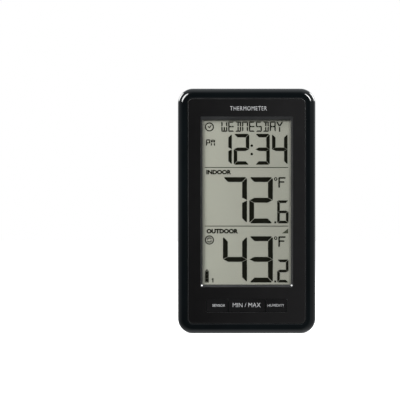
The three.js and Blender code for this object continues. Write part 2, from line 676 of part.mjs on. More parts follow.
// The fold-out stand: a panel on two trunnions, with a thumb cut and three ribs inside.
function stand() {
  const { x, bottom, top, front, back, ribY } = STAND;
  const panel = plate(around(0, x), [bottom, top], 0.8, [front, back]);
  const thumb = barY(0, THUMB.z, THUMB.r, [front - THROUGH, back + THROUGH], 40);
  const barrel = barX(PIVOT.y, PIVOT.z, PIVOT.barrelR, around(0, x), 20);
  const trunnions = barX(PIVOT.y, PIVOT.z, PIVOT.pinR, around(0, PIVOT.pinX), 12);
  const ribs = [-14, 0, 14].map((at) => box(around(at, 0.7), [ribY, front + 0.3], [9, 40]));
  add("stand", join(cut(panel, thumb), barrel, trunnions, ...ribs), "shell");
}

function screws() {
  CASE_SCREWS.forEach(({ x, z }, i) => {
    const { headR, head, shankR, seat, tip } = CASE_SCREW;
    const under = seat + SEAM;
    const made = join(barY(x, z, headR, [under, under + head]), barY(x, z, shankR, [tip, under + 0.5], 12));
    add(`case_screw_${i + 1}`, made, "nickel");
  });
  BOARD_SCREWS.forEach(({ x, z }, i) => {
    const { headR, head, shankR, tip } = BOARD_SCREW;
    const made = join(
      barY(x, z, headR, [ON_BOARD, ON_BOARD + head]),
      barY(x, z, shankR, [tip, ON_BOARD + 0.4], 12),
    );
    add(`board_screw_${i + 1}`, made, "nickel");
  });
}

frontCase();
facePlate();
display();
mainBoard();
receiver();
frontKeys();
rearCase();
settingKeys();
batteryDoor();
power();
leads();
stand();
screws();

export default thermometer;
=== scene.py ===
"""The looks of a maximum and minimum thermometer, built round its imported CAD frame.

Shapes are drawn in millimetres, in the CAD's frame (X right, the display faces -Y, Z up), and are made
in metres. Outlines are lists of (x, z) points; a stack of outlines along Y is a solid.
"""
import json
import math

import bmesh
import bpy
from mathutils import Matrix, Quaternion, Vector

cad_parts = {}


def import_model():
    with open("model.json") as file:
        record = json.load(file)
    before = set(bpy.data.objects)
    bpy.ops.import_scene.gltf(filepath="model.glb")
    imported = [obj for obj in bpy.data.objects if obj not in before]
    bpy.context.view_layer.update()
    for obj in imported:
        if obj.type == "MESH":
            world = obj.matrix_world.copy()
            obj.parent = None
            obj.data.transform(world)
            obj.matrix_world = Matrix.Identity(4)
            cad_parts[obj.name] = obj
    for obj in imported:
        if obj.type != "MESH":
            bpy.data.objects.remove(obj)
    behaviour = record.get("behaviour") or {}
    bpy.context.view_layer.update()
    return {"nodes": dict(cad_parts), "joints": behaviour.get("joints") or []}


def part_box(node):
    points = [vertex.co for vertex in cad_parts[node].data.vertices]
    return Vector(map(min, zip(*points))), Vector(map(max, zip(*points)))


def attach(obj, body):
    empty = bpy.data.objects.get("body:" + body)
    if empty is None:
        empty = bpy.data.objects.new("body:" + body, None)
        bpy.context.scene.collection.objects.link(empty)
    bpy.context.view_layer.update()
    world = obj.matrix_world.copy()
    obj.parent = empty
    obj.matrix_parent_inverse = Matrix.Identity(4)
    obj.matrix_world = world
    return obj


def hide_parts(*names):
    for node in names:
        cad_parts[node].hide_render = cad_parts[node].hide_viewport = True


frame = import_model()

MM = 0.001


def box_mm(node):
    """A CAD node's lowest and highest corners, in millimetres."""
    low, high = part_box(node)
    return low / MM, high / MM


def middle(node):
    low, high = box_mm(node)
    return (low + high) / 2


FRONT_LOW, FRONT_HIGH = box_mm("front_case")
FACE_LOW, FACE_HIGH = box_mm("face_plate")
LENS_LOW, LENS_HIGH = box_mm("display_lens")
DOOR_LOW, DOOR_HIGH = box_mm("battery_door")
STAND_HIGH = box_mm("stand")[1]
HALF_WIDTH = FRONT_HIGH.x
HEIGHT = FRONT_HIGH.z
FRONT_Y = FRONT_LOW.y
BACK_Y = box_mm("rear_case")[1].y
CORNER_R = 9.3
SKIN = 2.2
OUT = BACK_Y + 1  # where a cut through the back ends
SHARP_ANGLE = 32

# == solids ==


class Solid:
    """Points and faces in millimetres; marks gives each face the number of its material."""

    def __init__(self, points=(), faces=()):
        self.points = [tuple(p) for p in points]
        self.faces = [tuple(f) for f in faces]
        self.marks = [0] * len(self.faces)

    def add(self, other):
        start = len(self.points)
        self.points += other.points
        self.faces += [tuple(i + start for i in f) for f in other.faces]
        self.marks += other.marks
        return self

    def marked(self, mark):
        self.marks = [mark] * len(self.faces)
        return self


def together(parts):
    whole = Solid()
    for part in parts:
        whole.add(part)
    return whole


def skinned(loops, closed=False):
    """A surface over loops of 3-D points: a ring of loops, or a stack with flat ends."""
    rows, per = len(loops), len(loops[0])
    points = [p for loop in loops for p in loop]
    faces = []
    for row in range(rows if closed else rows - 1):
        after = (row + 1) % rows
        for i in range(per):
            j = (i + 1) % per
            faces.append((row * per + i, row * per + j, after * per + j, after * per + i))
    if not closed:
        faces.append(tuple(reversed(range(per))))
        faces.append(tuple((rows - 1) * per + i for i in range(per)))
    return Solid(points, faces)


def at_depth(outline, y):
    return [(x, y, z) for x, z in outline]


def stack(layers):
    """A solid from (outline, y) layers."""
    return skinned([at_depth(outline, y) for outline, y in layers])


def prism(outline, y0, y1):
    return stack([(outline, y0), (outline, y1)])


def oblong(x0, x1, z0, z1):
    return [(x0, z0), (x1, z0), (x1, z1), (x0, z1)]


def block(x0, x1, y0, y1, z0, z1):
    return prism(oblong(x0, x1, z0, z1), y0, y1)


def quarter(steps):
    """A quarter round: (how far in, how far along), both from 0 to 1."""
    angles = [i / steps * math.pi / 2 for i in range(steps + 1)]
    return [(1 - math.cos(a), math.sin(a)) for a in angles]


def rounded(x0, x1, z0, z1, r, steps=6, grow=0.0):
    """A rectangle with round corners."""
    x0, x1, z0, z1, r = x0 - grow, x1 + grow, z0 - grow, z1 + grow, max(r + grow, 0.02)
    corners = [(x1 - r, z0 + r, -90), (x1 - r, z1 - r, 0), (x0 + r, z1 - r, 90), (x0 + r, z0 + r, 180)]
    outline = []
    for cx, cz, start in corners:
        for i in range(steps + 1):
            a = math.radians(start + 90 * i / steps)
            outline.append((cx + r * math.cos(a), cz + r * math.sin(a)))
    return outline


def rounded_at(x0, x1, z0, z1, r, steps=5):
    """A rounded rectangle that can still grow, as pillow and chamfered_cut want it."""
    return lambda grow: rounded(x0, x1, z0, z1, r, steps, grow)


def circle(x, z, r, steps=40, grow=0.0):
    angles = [2 * math.pi * i / steps for i in range(steps)]
    return [(x + (r + grow) * math.cos(a), z + (r + grow) * math.sin(a)) for a in angles]


def pillow(outline_at, front, back, front_round=0.0, back_round=0.0, steps=4):
    """A plate whose edges are rounded; outline_at(grow) draws its outline."""
    layers = []
    if front_round:
        for inwards, along in reversed(quarter(steps)):
            layers.append((outline_at(-front_round * inwards), front + front_round * (1 - along)))
    else:
        layers.append((outline_at(0), front))
    if back_round:
        for inwards, along in quarter(steps):
            layers.append((outline_at(-back_round * inwards), back - back_round * (1 - along)))
    else:
        layers.append((outline_at(0), back))
    return stack(layers)


def chamfered_cut(outline_at, surface, inner, outer, chamfer=0.3):
    """A cutter through a wall whose face is at surface, with a chamfer there; outer is beyond it."""
    side = 1 if outer > surface else -1
    straight, wide = outline_at(0), outline_at(chamfer)
    return stack([(straight, inner), (straight, surface - side * chamfer), (wide, surface), (wide, outer)])


def lathe(profile, place, steps=48, marks=None):
    """Turns a profile of (radius, along) round an axis; place maps (across, up, along) to a point."""
    points, faces, kinds, rows = [], [], [], []
    for radius, along in profile:
        if radius < 1e-6:
            rows.append([len(points)] * steps)
            points.append(place(0, 0, along))
            continue
        rows.append([len(points) + i for i in range(steps)])
        for i in range(steps):
            a = 2 * math.pi * i / steps
            points.append(place(radius * math.cos(a), radius * math.sin(a), along))
    for row in range(len(rows) - 1):
        for i in range(steps):
            j = (i + 1) % steps
            corners = [rows[row][i], rows[row][j], rows[row + 1][j], rows[row + 1][i]]
            face = [c for n, c in enumerate(corners) if c not in corners[:n]]
            if len(face) > 2:
                faces.append(tuple(face))
                kinds.append(marks[row] if marks else 0)
    solid = Solid(points, faces)
    solid.marks = kinds
    return solid


def turned_y(profile, x, z, steps=40):
    """A solid turned round an axis along Y: the profile is (radius, y)."""
    return lathe(profile, lambda across, up, along: (x + across, along, z + up), steps)


def tube(path, r, sides=12):
    """A round wire along a list of points."""
    path = [Vector(p) for p in path]
    loops = []
    side = None
    for i, point in enumerate(path):
        ahead = path[min(i + 1, len(path) - 1)] - path[max(i - 1, 0)]
        ahead.normalize()
        if side is None:
            side = ahead.orthogonal().normalized()
        side = (side - ahead * side.dot(ahead)).normalized()
        up = ahead.cross(side)
        angles = [2 * math.pi * k / sides for k in range(sides)]
        loops.append([tuple(point + (side * math.cos(a) + up * math.sin(a)) * r) for a in angles])
    return skinned(loops)


def put(name, data):
    """A new object in the scene."""
    made = bpy.data.objects.new(name, data)
    bpy.context.scene.collection.objects.link(made)
    return made


def face_out(mesh):
    """Welds a mesh and turns every face to look out of its solid."""
    work = bmesh.new()
    work.from_mesh(mesh)
    bmesh.ops.remove_doubles(work, verts=work.verts, dist=1e-7)
    bmesh.ops.recalc_face_normals(work, faces=work.faces)
    work.to_mesh(mesh)
    work.free()


def to_object(name, solid, materials=()):
    mesh = bpy.data.meshes.new(name)
    mesh.from_pydata([tuple(c * MM for c in p) for p in solid.points], [], solid.faces)
    for material in materials:
        mesh.materials.append(material)
    mesh.polygons.foreach_set("material_index", solid.marks)
    mesh.validate()
    mesh.update()
    face_out(mesh)
    return put(name, mesh)


def bake_modifiers(piece):
    graph = bpy.context.evaluated_depsgraph_get()
    mesh = bpy.data.meshes.new_from_object(piece.evaluated_get(graph))
    old = piece.data
    piece.modifiers.clear()
    piece.data = mesh
    bpy.data.meshes.remove(old)


def boolean(piece, solids, operation):
    """Joins solids to a piece, or cuts them from it, one by one."""
    for solid in solids:
        tool = to_object("tool", solid)
        modifier = piece.modifiers.new("cut", "BOOLEAN")
        modifier.operation = operation
        modifier.solver = "EXACT"
        modifier.object = tool
        bake_modifiers(piece)
        mesh = tool.data
        bpy.data.objects.remove(tool)
        bpy.data.meshes.remove(mesh)


def shade(made):
    """Smooth shading with sharp edges kept, where large flat faces stay truly flat."""
    made.data.shade_smooth()
    made.data.set_sharp_from_angle(angle=math.radians(SHARP_ANGLE))
    even = made.modifiers.new("even", "WEIGHTED_NORMAL")
    even.keep_sharp = True
    even.weight = 100
    bake_modifiers(made)


def piece(name, solid, materials, body, slot, joins=(), cuts=(), stands_for=(), adds=()):
    """A finished piece: made, joined, cut, added to, shaded, and riding on its body."""
    if not isinstance(materials, (list, tuple)):
        materials = [materials]
    made = to_object(name, solid, materials)
    boolean(made, joins, "UNION")
    boolean(made, cuts, "DIFFERENCE")
    boolean(made, adds, "UNION")
    shade(made)
    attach(made, body)
    if stands_for:
        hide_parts(*stands_for)


# == materials ==


def add_node(tree, kind, settings=None, **inputs):
    """A shader node; its inputs are values or sockets, by name or by number (_0, _1)."""
    made = tree.nodes.new("ShaderNode" + kind)
    for key, value in (settings or {}).items():
        setattr(made, key, value)
    for key, value in inputs.items():
        socket = made.inputs[int(key[1:]) if key[1:].isdigit() else key.replace("_", " ")]
        if isinstance(value, bpy.types.NodeSocket):
            tree.links.new(value, socket)
        else:
            socket.default_value = value
    return made


def add_ramp(tree, factor, stops):
    """A colour ramp over (position, (r, g, b)) stops."""
    made = add_node(tree, "ValToRGB", Fac=factor)
    ramp = made.color_ramp
    while len(ramp.elements) < len(stops):
        ramp.elements.new(0.5)
    for element, (position, color) in zip(ramp.elements, stops):
        element.position = position
        element.color = (*color, 1)
    return made.outputs["Color"]


class Look:
    """A material under construction: a Principled shader and the nodes that feed it."""

    def __init__(self, name, color, roughness, metallic=0.0, **settings):
        self.material = bpy.data.materials.new(name)
        self.material.use_nodes = True
        self.tree = self.material.node_tree
        self.shader = self.tree.nodes["Principled BSDF"]
        self.set("Base Color", (*color, 1))
        self.set("Roughness", roughness)
        self.set("Metallic", metallic)
        for key, value in settings.items():
            self.set(key.replace("_", " "), value)
        self.material.diffuse_color = (*color, 1)

    def set(self, socket, value):
        self.shader.inputs[socket].default_value = value

    def node(self, kind, settings=None, **inputs):
        return add_node(self.tree, kind, settings, **inputs)

    def link(self, output, socket):
        self.tree.links.new(output, self.shader.inputs[socket])

    def place(self, stretch=(1, 1, 1)):
        """The surface's own coordinates, in metres."""
        where = self.node("TexCoord").outputs["Object"]
        if stretch == (1, 1, 1):
            return where
        return self.node("Mapping", Vector=where, Scale=stretch).outputs["Vector"]

    def along(self, axis):
        return self.node("SeparateXYZ", Vector=self.place()).outputs[axis]

    def noise(self, size_mm, detail=3.0, roughness=0.5, stretch=(1, 1, 1)):
        inputs = {"Scale": 1 / (size_mm * MM), "Detail": detail, "Roughness": roughness}
        return self.node("TexNoise", Vector=self.place(stretch), **inputs).outputs["Fac"]

    def between(self, factor, low, high, start=0.35, end=0.65):
        """A number from low to high as a factor goes from start to end."""
        inputs = {"From_Min": start, "From_Max": end, "To_Min": low, "To_Max": high}
        return self.node("MapRange", Value=factor, **inputs).outputs["Result"]

    def added(self, first, second):
        return self.node("Math", _0=first, _1=second).outputs["Value"]

    def colors(self, factor, *stops):
        return add_ramp(self.tree, factor, stops)

    def bump(self, height, depth_mm):
        """Adds relief to what is there already."""
        made = self.node("Bump", Height=height, Distance=depth_mm * MM, Strength=1.0)
        before = self.shader.inputs["Normal"].links
        if before:
            self.tree.links.new(before[0].from_socket, made.inputs["Normal"])
        self.link(made.outputs["Normal"], "Normal")
        return self


def scaled(color, by):
    return tuple(c * by for c in color)


def varied(look, color, size_mm, spread):
    """Lets a colour wander a little over the surface."""
    wander = look.noise(size_mm, 4.0)
    stops = ((0.3, scaled(color, 1 - spread)), (0.7, scaled(color, 1 + spread)))
    look.link(look.colors(wander, *stops), "Base Color")


def gloss_black():
    """Polished black plastic with a clear skin, faint smears and a very slight orange peel."""
    color = (0.0022, 0.0036, 0.0044)
    look = Look("gloss_black", color, 0.08, IOR=1.55, Coat_Weight=1.0, Coat_Roughness=0.03)
    varied(look, color, 30, 0.25)
    smears = look.noise(9, 5.0, 0.6, (1, 1, 0.35))
    look.link(look.between(smears, 0.05, 0.12), "Roughness")
    return look.bump(look.noise(1.6, 1.0), 0.0035).bump(look.noise(0.12, 2.0), 0.0006).material


def face_black():
    """Satin black plastic with a fine even grain, and painted light that makes it a little lighter to the
    right.
    """
    color = (0.0078, 0.0076, 0.0078)
    look = Look("face_black", color, 0.18, IOR=1.48)
    # painted light: the colour lightens from left to right, standing in for the lamps' brighter light on the
    # face's right side
    across = look.between(look.along("X"), 0, 1, -36 * MM, 36 * MM)
    cloudy = look.between(look.noise(24, 4.0), -0.1, 0.1, 0.3, 0.7)
    stops = ((0.0, scaled(color, 0.62)), (1.0, scaled(color, 1.45)))
    look.link(look.colors(look.added(across, cloudy), *stops), "Base Color")
    look.link(look.between(look.noise(6, 4.0), 0.172, 0.195), "Roughness")
    return look.bump(look.noise(0.18, 3.0, 0.6), 0.0025).material


def edge_painted_highlight():
    """The polished edges of the face, made lighter than the face as a painted highlight for the light they
    catch.
    """
    # painted highlight: several times lighter than the face's colour
    color = (0.028, 0.0285, 0.029)
    look = Look("edge_painted_highlight", color, 0.32, IOR=1.5)
    varied(look, color, 8, 0.2)
    look.link(look.between(look.noise(3, 4.0), 0.28, 0.36), "Roughness")
    return look.bump(look.noise(0.2, 3.0, 0.6), 0.002).material


def key_black():
    """The keys: the same plastic as the face, rubbed a little smoother by fingers."""
    color = (0.0074, 0.0072, 0.0075)
    look = Look("key_black", color, 0.175, IOR=1.48)
    varied(look, color, 12, 0.2)
    look.link(look.between(look.noise(4, 4.0), 0.165, 0.19), "Roughness")
    return look.bump(look.noise(0.18, 3.0, 0.6), 0.002).material


def shell_black():
    """Black plastic from a spark-eroded mould: a leathery grain, dull, with paler high points."""
    color = (0.011, 0.011, 0.012)
    look = Look("shell_black", color, 0.55, IOR=1.46)
    grain = look.noise(0.55, 3.0, 0.55)
    look.link(look.colors(grain, (0.35, scaled(color, 0.75)), (0.68, scaled(color, 1.5))), "Base Color")
    look.link(look.between(look.noise(14, 4.0), 0.48, 0.62), "Roughness")
    return look.bump(grain, 0.07).bump(look.noise(0.16, 2.0), 0.02).material


def lcd_ground():
    """The grey-green ground of a reflective display: sparkling foil, with painted shade to the right and a
    painted shadow under the window's top edge.
    """
    color = (0.414, 0.411, 0.353)
    look = Look("lcd_ground", color, 0.5, IOR=1.2)
    fine = look.noise(0.09, 2.0)
    # painted shade: the ground darkens towards the right, where less of the lamps' light reaches it
    painted_shade_rightward = look.between(look.along("X"), 0, 1, -20 * MM, 28 * MM)
    sparkle = look.between(fine, -0.12, 0.12, 0.3, 0.7)
    stops = ((0.0, scaled(color, 1.03)), (1.0, scaled(color, 0.84)))
    ground = look.colors(look.added(painted_shade_rightward, sparkle), *stops)
    # painted shadow: the ground darkens just below the window's top edge, where the face overhangs it
    below_edge = look.between(look.along("Z"), 1, 0, 126.5 * MM, 132.4 * MM)
    shadow = look.colors(below_edge, (0.0, (0.74,) * 3), (0.35, (0.88,) * 3), (1.0, (1,) * 3))
    multiply = {"data_type": "RGBA", "blend_type": "MULTIPLY"}
    shaded = look.node("Mix", multiply, _0=1.0, _6=ground, _7=shadow)
    look.link(shaded.outputs[2], "Base Color")
    return look.bump(fine, 0.002).material


def flat_ink(name, color, roughness, ior=1.45):
    """Printed or printed-like layers: a thin even film with a trace of grain."""
    look = Look(name, color, roughness, IOR=ior)
    varied(look, color, 0.5, 0.08)
    return look.bump(look.noise(0.1, 2.0), 0.001).material


def clear_pane(name, tint, roughness):
    """A clear sheet: see-through, with a mirror sheen that grows towards its edges."""
    look = Look(name, tint, roughness)
    slant = look.node("LayerWeight", Blend=0.5).outputs["Facing"]
    steep = look.node("Math", {"operation": "POWER"}, _0=slant, _1=5).outputs["Value"]
    sheen = look.between(steep, 0.036, 1, 0, 1)
    through = look.node("BsdfTransparent", Color=(*tint, 1)).outputs["BSDF"]
    mirror = look.node("BsdfGlossy", Color=(1, 1, 1, 1), Roughness=roughness).outputs["BSDF"]
    mixed = look.node("MixShader", Fac=sheen, _1=through, _2=mirror).outputs["Shader"]
    look.tree.links.new(mixed, look.tree.nodes["Material Output"].inputs["Surface"])
    look.tree.nodes.remove(look.shader)
    return look.material


def rubber(name, color, roughness=0.7):
    look = Look(name, color, roughness, IOR=1.45)
    varied(look, color, 3, 0.25)
    look.link(look.between(look.noise(2.5), roughness - 0.08, roughness + 0.06), "Roughness")
    return look.bump(look.noise(0.2, 3.0), 0.01).material


def foam():
    """Open-cell foam: pits of every size, very dull."""
    color = (0.06, 0.06, 0.065)
    look = Look("grey_foam", color, 0.95)
    cells = look.node("TexVoronoi", Vector=look.place(), Scale=1 / (0.45 * MM)).outputs["Distance"]
    look.link(look.colors(cells, (0.1, scaled(color, 0.35)), (0.6, scaled(color, 1.5))), "Base Color")
    return look.bump(cells, 0.15).material


def board_green():
    """A printed circuit board: solder mask over a web of tracks."""
    color = (0.012, 0.085, 0.03)
    look = Look("board_green", color, 0.32, IOR=1.5, Coat_Weight=0.4, Coat_Roughness=0.15)
    sizes = {"Scale": 1 / (6 * MM), "Mortar_Size": 0.06, "Brick_Width": 1.2, "Row_Height": 0.22}
    tracks = look.node("TexBrick", {"offset": 0.35, "squash": 0.6}, Vector=look.place(), **sizes)
    lines = tracks.outputs["Fac"]
    look.link(look.colors(lines, (0.2, color), (0.8, (0.03, 0.17, 0.07))), "Base Color")
    return look.bump(lines, 0.03).bump(look.noise(0.5), 0.004).material


def metal(name, color, roughness, brushed=(1, 1, 1)):
    """Plated or bare metal with fine drawing lines and some dull patches."""
    look = Look(name, color, roughness, metallic=1.0)
    patches = look.noise(2.2, 5.0, 0.6)
    look.link(look.colors(patches, (0.3, scaled(color, 0.8)), (0.65, color)), "Base Color")
    look.link(look.between(patches, roughness + 0.14, roughness - 0.04), "Roughness")
    return look.bump(look.noise(0.12, 3.0, 0.6, brushed), 0.003).material


def plastic(name, color, roughness=0.5, grain_mm=0.3, depth_mm=0.006):
    look = Look(name, color, roughness, IOR=1.46)
    varied(look, color, 4, 0.12)
    look.link(look.between(look.noise(3), roughness - 0.07, roughness + 0.07), "Roughness")
    return look.bump(look.noise(grain_mm, 3.0), depth_mm).material


GLOSS = gloss_black()
FACE = face_black()
EDGE_PAINTED_HIGHLIGHT = edge_painted_highlight()
KEY = key_black()
SHELL = shell_black()
GROUND = lcd_ground()
INK = flat_ink("lcd_ink", (0.006, 0.0062, 0.003), 0.6, 1.12)
FAINT_INK = flat_ink("lcd_faint_ink", (0.06, 0.063, 0.045), 0.6, 1.12)
PRINT = flat_ink("key_print", (0.42, 0.425, 0.43), 0.5)
LENS = clear_pane("clear_lens", (0.965, 0.97, 0.965), 0.02)
GLASS = clear_pane("lcd_glass", (0.96, 0.975, 0.965), 0.01)
RUBBER = rubber("black_rubber", (0.018, 0.017, 0.016))
SETTING_RUBBER = rubber("setting_key_rubber", (0.03, 0.03, 0.032), 0.6)
CARRIER = plastic("carrier_white", (0.62, 0.6, 0.55))
BOARD = board_green()
EPOXY = plastic("chip_black", (0.006, 0.006, 0.0065), 0.35, 0.25, 0.01)
TIN = metal("tinned_steel", (0.62, 0.61, 0.58), 0.28, (1, 0.1, 1))
ZINC = metal("screw_zinc", (0.42, 0.42, 0.41), 0.3, (0.2, 1, 1))
COPPER = metal("copper_wire", (0.66, 0.27, 0.12), 0.3)
CERAMIC = plastic("bare_ceramic", (0.7, 0.66, 0.58), 0.65, 0.15, 0.01)
FOAM = foam()
RED_WIRE = plastic("red_wire", (0.36, 0.012, 0.008), 0.4)
BLACK_WIRE = plastic("black_wire", (0.009, 0.009, 0.009), 0.42)
WRAP_DARK = plastic("cell_wrap", (0.012, 0.03, 0.075), 0.22, 0.8, 0.003)
WRAP_BAND = metal("cell_band", (0.55, 0.43, 0.24), 0.25, (0.1, 1, 1))
WRAP_LINE = plastic("cell_line", (0.55, 0.56, 0.56), 0.3, 0.8, 0.003)
LABEL = plastic("cell_insulator", (0.7, 0.7, 0.68), 0.45)

# == the case outline ==

CORNER_STEPS = 20
LEAST_R = 0.8


def case_outline(side, top, bottom):
    """The case outline, drawn in at its sides, top and bottom."""
    rx = max(CORNER_R - side, LEAST_R)
    outline = []
    for corner in range(4):
        right, upper = corner in (0, 3), corner < 2
        rz = max(CORNER_R - (top if upper else bottom), LEAST_R)
        cx = (HALF_WIDTH - side - rx) * (1 if right else -1)
        cz = HEIGHT - top - rz if upper else bottom + rz
        for i in range(CORNER_STEPS + 1):
            a = (corner + i / CORNER_STEPS) * math.pi / 2
            outline.append((cx + rx * math.cos(a), cz + rz * math.sin(a)))
    return outline


def outline_ring(section):
    """A ring round the case from the (inset, y) points of its section."""
    loops = [at_depth(case_outline(inset, inset, inset), y) for inset, y in section]
    return skinned(loops, closed=True)


# == front ==

RIM_INNER = 5.85
CROWN_INSET = 3.6
CROWN_DROP = 4.4
LEDGE_FRONT, LEDGE_BACK, LEDGE_INSET = -11.6, -10.2, 9.0
SPLIT_FRONT = FRONT_HIGH.y
CASE_SCREWS = [f"case_screw_{i}" for i in range(1, 5)]
BOARD_SCREWS = [f"board_screw_{i}" for i in range(1, 5)]


def rim_section():
    """The rim: parting edge, side, round, crown, slight fall and a soft inner edge."""
    start = FRONT_Y + CROWN_DROP
    soft, shoulder, fall, edge, fall_steps = 0.3, 0.09, 0.03, 0.14, 8
    section = [(SKIN, SPLIT_FRONT), (soft, SPLIT_FRONT), (shoulder, SPLIT_FRONT - shoulder)]
    section.append((0, SPLIT_FRONT - soft))
    for inwards, along in quarter(22):
        section.append((CROWN_INSET * inwards, start - CROWN_DROP * along))
    run = RIM_INNER - edge - CROWN_INSET
    for i in range(1, fall_steps + 1):
        t = i / fall_steps
        section.append((CROWN_INSET + run * t, FRONT_Y + fall * t * t))
    section.append((RIM_INNER, FRONT_Y + fall + edge))
    section += [(RIM_INNER, LEDGE_FRONT), (LEDGE_INSET, LEDGE_FRONT)]
    section += [(LEDGE_INSET, LEDGE_BACK), (SKIN, LEDGE_BACK)]
    return section


def front_case():
    """The rim with its ledge, and a drilled boss for every screw."""
    bosses, pilots = [], []
    for nodes, boss_r, boss_end, pilot_r, pilot_start in (
        (CASE_SCREWS, 3, SPLIT_FRONT - 0.25, 1.45, -9.5),
        (BOARD_SCREWS, 2.2, -6.2, 0.95, -9.8),
    ):
        for at in map(middle, nodes):
            bosses.append(prism(circle(at.x, at.z, boss_r), LEDGE_FRONT, boss_end))
            pilots.append(prism(circle(at.x, at.z, pilot_r), pilot_start, 0))
    piece(
        "front_rim", outline_ring(rim_section()), GLOSS, "case_body", "gloss_black",
        bosses, pilots, ["front_case"],
    )


WINDOW = (28.5, 28.8, 134.1)  # half width, bottom and top at the face
VIEW = (27.3, 30.3, 132.3)  # the same behind the plate
KEY_ROW = (25.1, 13.1, 21.4)  # the same for the slot of the keys
EDGE_ROUND = 0.42
# the first mark is for faces that take the edge material, a painted highlight
PAINTED_HIGHLIGHT_MARK, GLOSS_MARK = 1, 2  # places in the face panel's list of materials
PIP_X, PIP_Z, PIP_R, PIP_RISE = 27.75, 29.75, 0.52, 0.3
FRONT_KEYS = ("sensor", "min_max", "humidity")
SETTING_KEYS = ("set", "plus", "minus")


def pip(x, lean):
    """A low moulded pip whose flat top leans a little."""
    tilt = -(1 - lean[0] ** 2 - lean[1] ** 2) ** 0.5
    foot = circle(x, PIP_Z, PIP_R, 20)
    top = []
    for px, pz in foot:
        slope = ((px - x) * lean[0] + (pz - PIP_Z) * lean[1]) / tilt
        top.append((px, FACE_LOW.y + PIP_RISE - slope, pz))
    return skinned([top, at_depth(foot, FACE_HIGH.y - 0.1)]).marked(GLOSS_MARK)


def window_cutter():
    """A straight bevel that eases into the short upright wall at the display."""
    front, back = FACE_LOW.y, FACE_HIGH.y

    def window_at(t, grow=0.0):
        half, low, high = [a + (b - a) * t for a, b in zip(WINDOW, VIEW)]
        return rounded(-half, half, low, high, 0.5, 6, grow)

    land, straight, drop = 0.25, 0.62, 0.84
    fall = back - front - land
    bevel = [(straight, drop)]
    for i in range(1, 7):
        t = i / 6
        bevel.append((straight + (1 - straight) * t, drop + (1 - drop) * (1 - (1 - t) ** 2)))
    foot = [(window_at(inwards), front + fall * down) for inwards, down in bevel]
    layers = [(window_at(0, 0.1), front - 1), (window_at(0, 0.1), front), *foot, (window_at(1), back + 1)]
    # the bevel takes the edge material, whose lighter colour is a painted highlight
    return stack(layers).marked(PAINTED_HIGHLIGHT_MARK)


def face_plate():
    front, back = FACE_LOW.y, FACE_HIGH.y
    keys_at = rounded_at(-KEY_ROW[0], KEY_ROW[0], KEY_ROW[1], KEY_ROW[2], 0.8, 6)
    # the chamfer round the keys' slot takes the edge material, a painted highlight
    keys = chamfered_cut(keys_at, front, back + 1, front - 1, 0.16).marked(PAINTED_HIGHLIGHT_MARK)
    pips = [pip(-PIP_X, (0.222, 0.190)), pip(PIP_X, (-0.294, 0.232))]
    plate_at = rounded_at(FACE_LOW.x, FACE_HIGH.x, FACE_LOW.z, FACE_HIGH.z, 3.2, 12)
    round_steps = 6
    plate = pillow(plate_at, front, back, EDGE_ROUND, 0, round_steps)
    # the plate's rounded outer edge takes the edge material, a painted highlight
    edge_faces = len(plate_at(0)) * round_steps
    plate.marks[:edge_faces] = [PAINTED_HIGHLIGHT_MARK] * edge_faces
    piece(
        "face_panel", plate, [FACE, EDGE_PAINTED_HIGHLIGHT, GLOSS], "case_body", "face_black",
        cuts=[window_cutter(), keys], adds=pips, stands_for=["face_plate"],
    )


def lens():
    sheet_at = rounded_at(LENS_LOW.x, LENS_HIGH.x, LENS_LOW.z, LENS_HIGH.z, 0.8)
    sheet = pillow(sheet_at, LENS_LOW.y, LENS_HIGH.y, 0.15, 0.15, 3)
    piece("window_lens", sheet, LENS, "case_body", "clear_lens", stands_for=["display_lens"])


def front_keys():
    """Each key: a cap that shows, a flange that holds it in and a post down to its switch."""
    front = box_mm("key_min_max")[0].y
    cap_foot, overhang = -11.0, 1.2
    for name in FRONT_KEYS:
        low, high = box_mm(f"key_{name}")
        switch = middle(f"switch_plunger_{name}")
        cap_at = rounded_at(low.x, high.x, low.z + overhang, high.z - overhang, 0.6)
        cap = pillow(cap_at, front, cap_foot, 0.22)
        flange = prism(rounded(low.x, high.x, low.z, high.z, 0.6), cap_foot - 0.5, cap_foot + 0.3)
        post = prism(circle(switch.x, switch.z, 1.6), cap_foot, high.y)
        piece(
            f"front_key_{name}", cap, KEY, f"{name}_key", "face_black",
            [flange, post], (), [f"key_{name}"],
        )


# == lettering ==


def word(text, x0, x1, z0, z1, weight=0.0, spacing=1.0):
    """A word as flat polygons that fill a box: (points, faces) in x and z."""
    curve = bpy.data.curves.new("word", "FONT")
    curve.body = text
    curve.space_character = spacing
    curve.offset = weight
    curve.resolution_u = 3
    thing = put("word", curve)
    graph = bpy.context.evaluated_depsgraph_get()
    mesh = bpy.data.meshes.new_from_object(thing.evaluated_get(graph))
    points = [(v.co.x, v.co.y) for v in mesh.vertices]
    faces = [tuple(p.vertices) for p in mesh.polygons]
    bpy.data.objects.remove(thing)
    bpy.data.curves.remove(curve)
    bpy.data.meshes.remove(mesh)
    low_x, high_x = min(p[0] for p in points), max(p[0] for p in points)
    low_y, high_y = min(p[1] for p in points), max(p[1] for p in points)
    kx, kz = (x1 - x0) / (high_x - low_x), (z1 - z0) / (high_y - low_y)
    placed = [(x0 + (x - low_x) * kx, z0 + (y - low_y) * kz) for x, y in points]
    return placed, faces


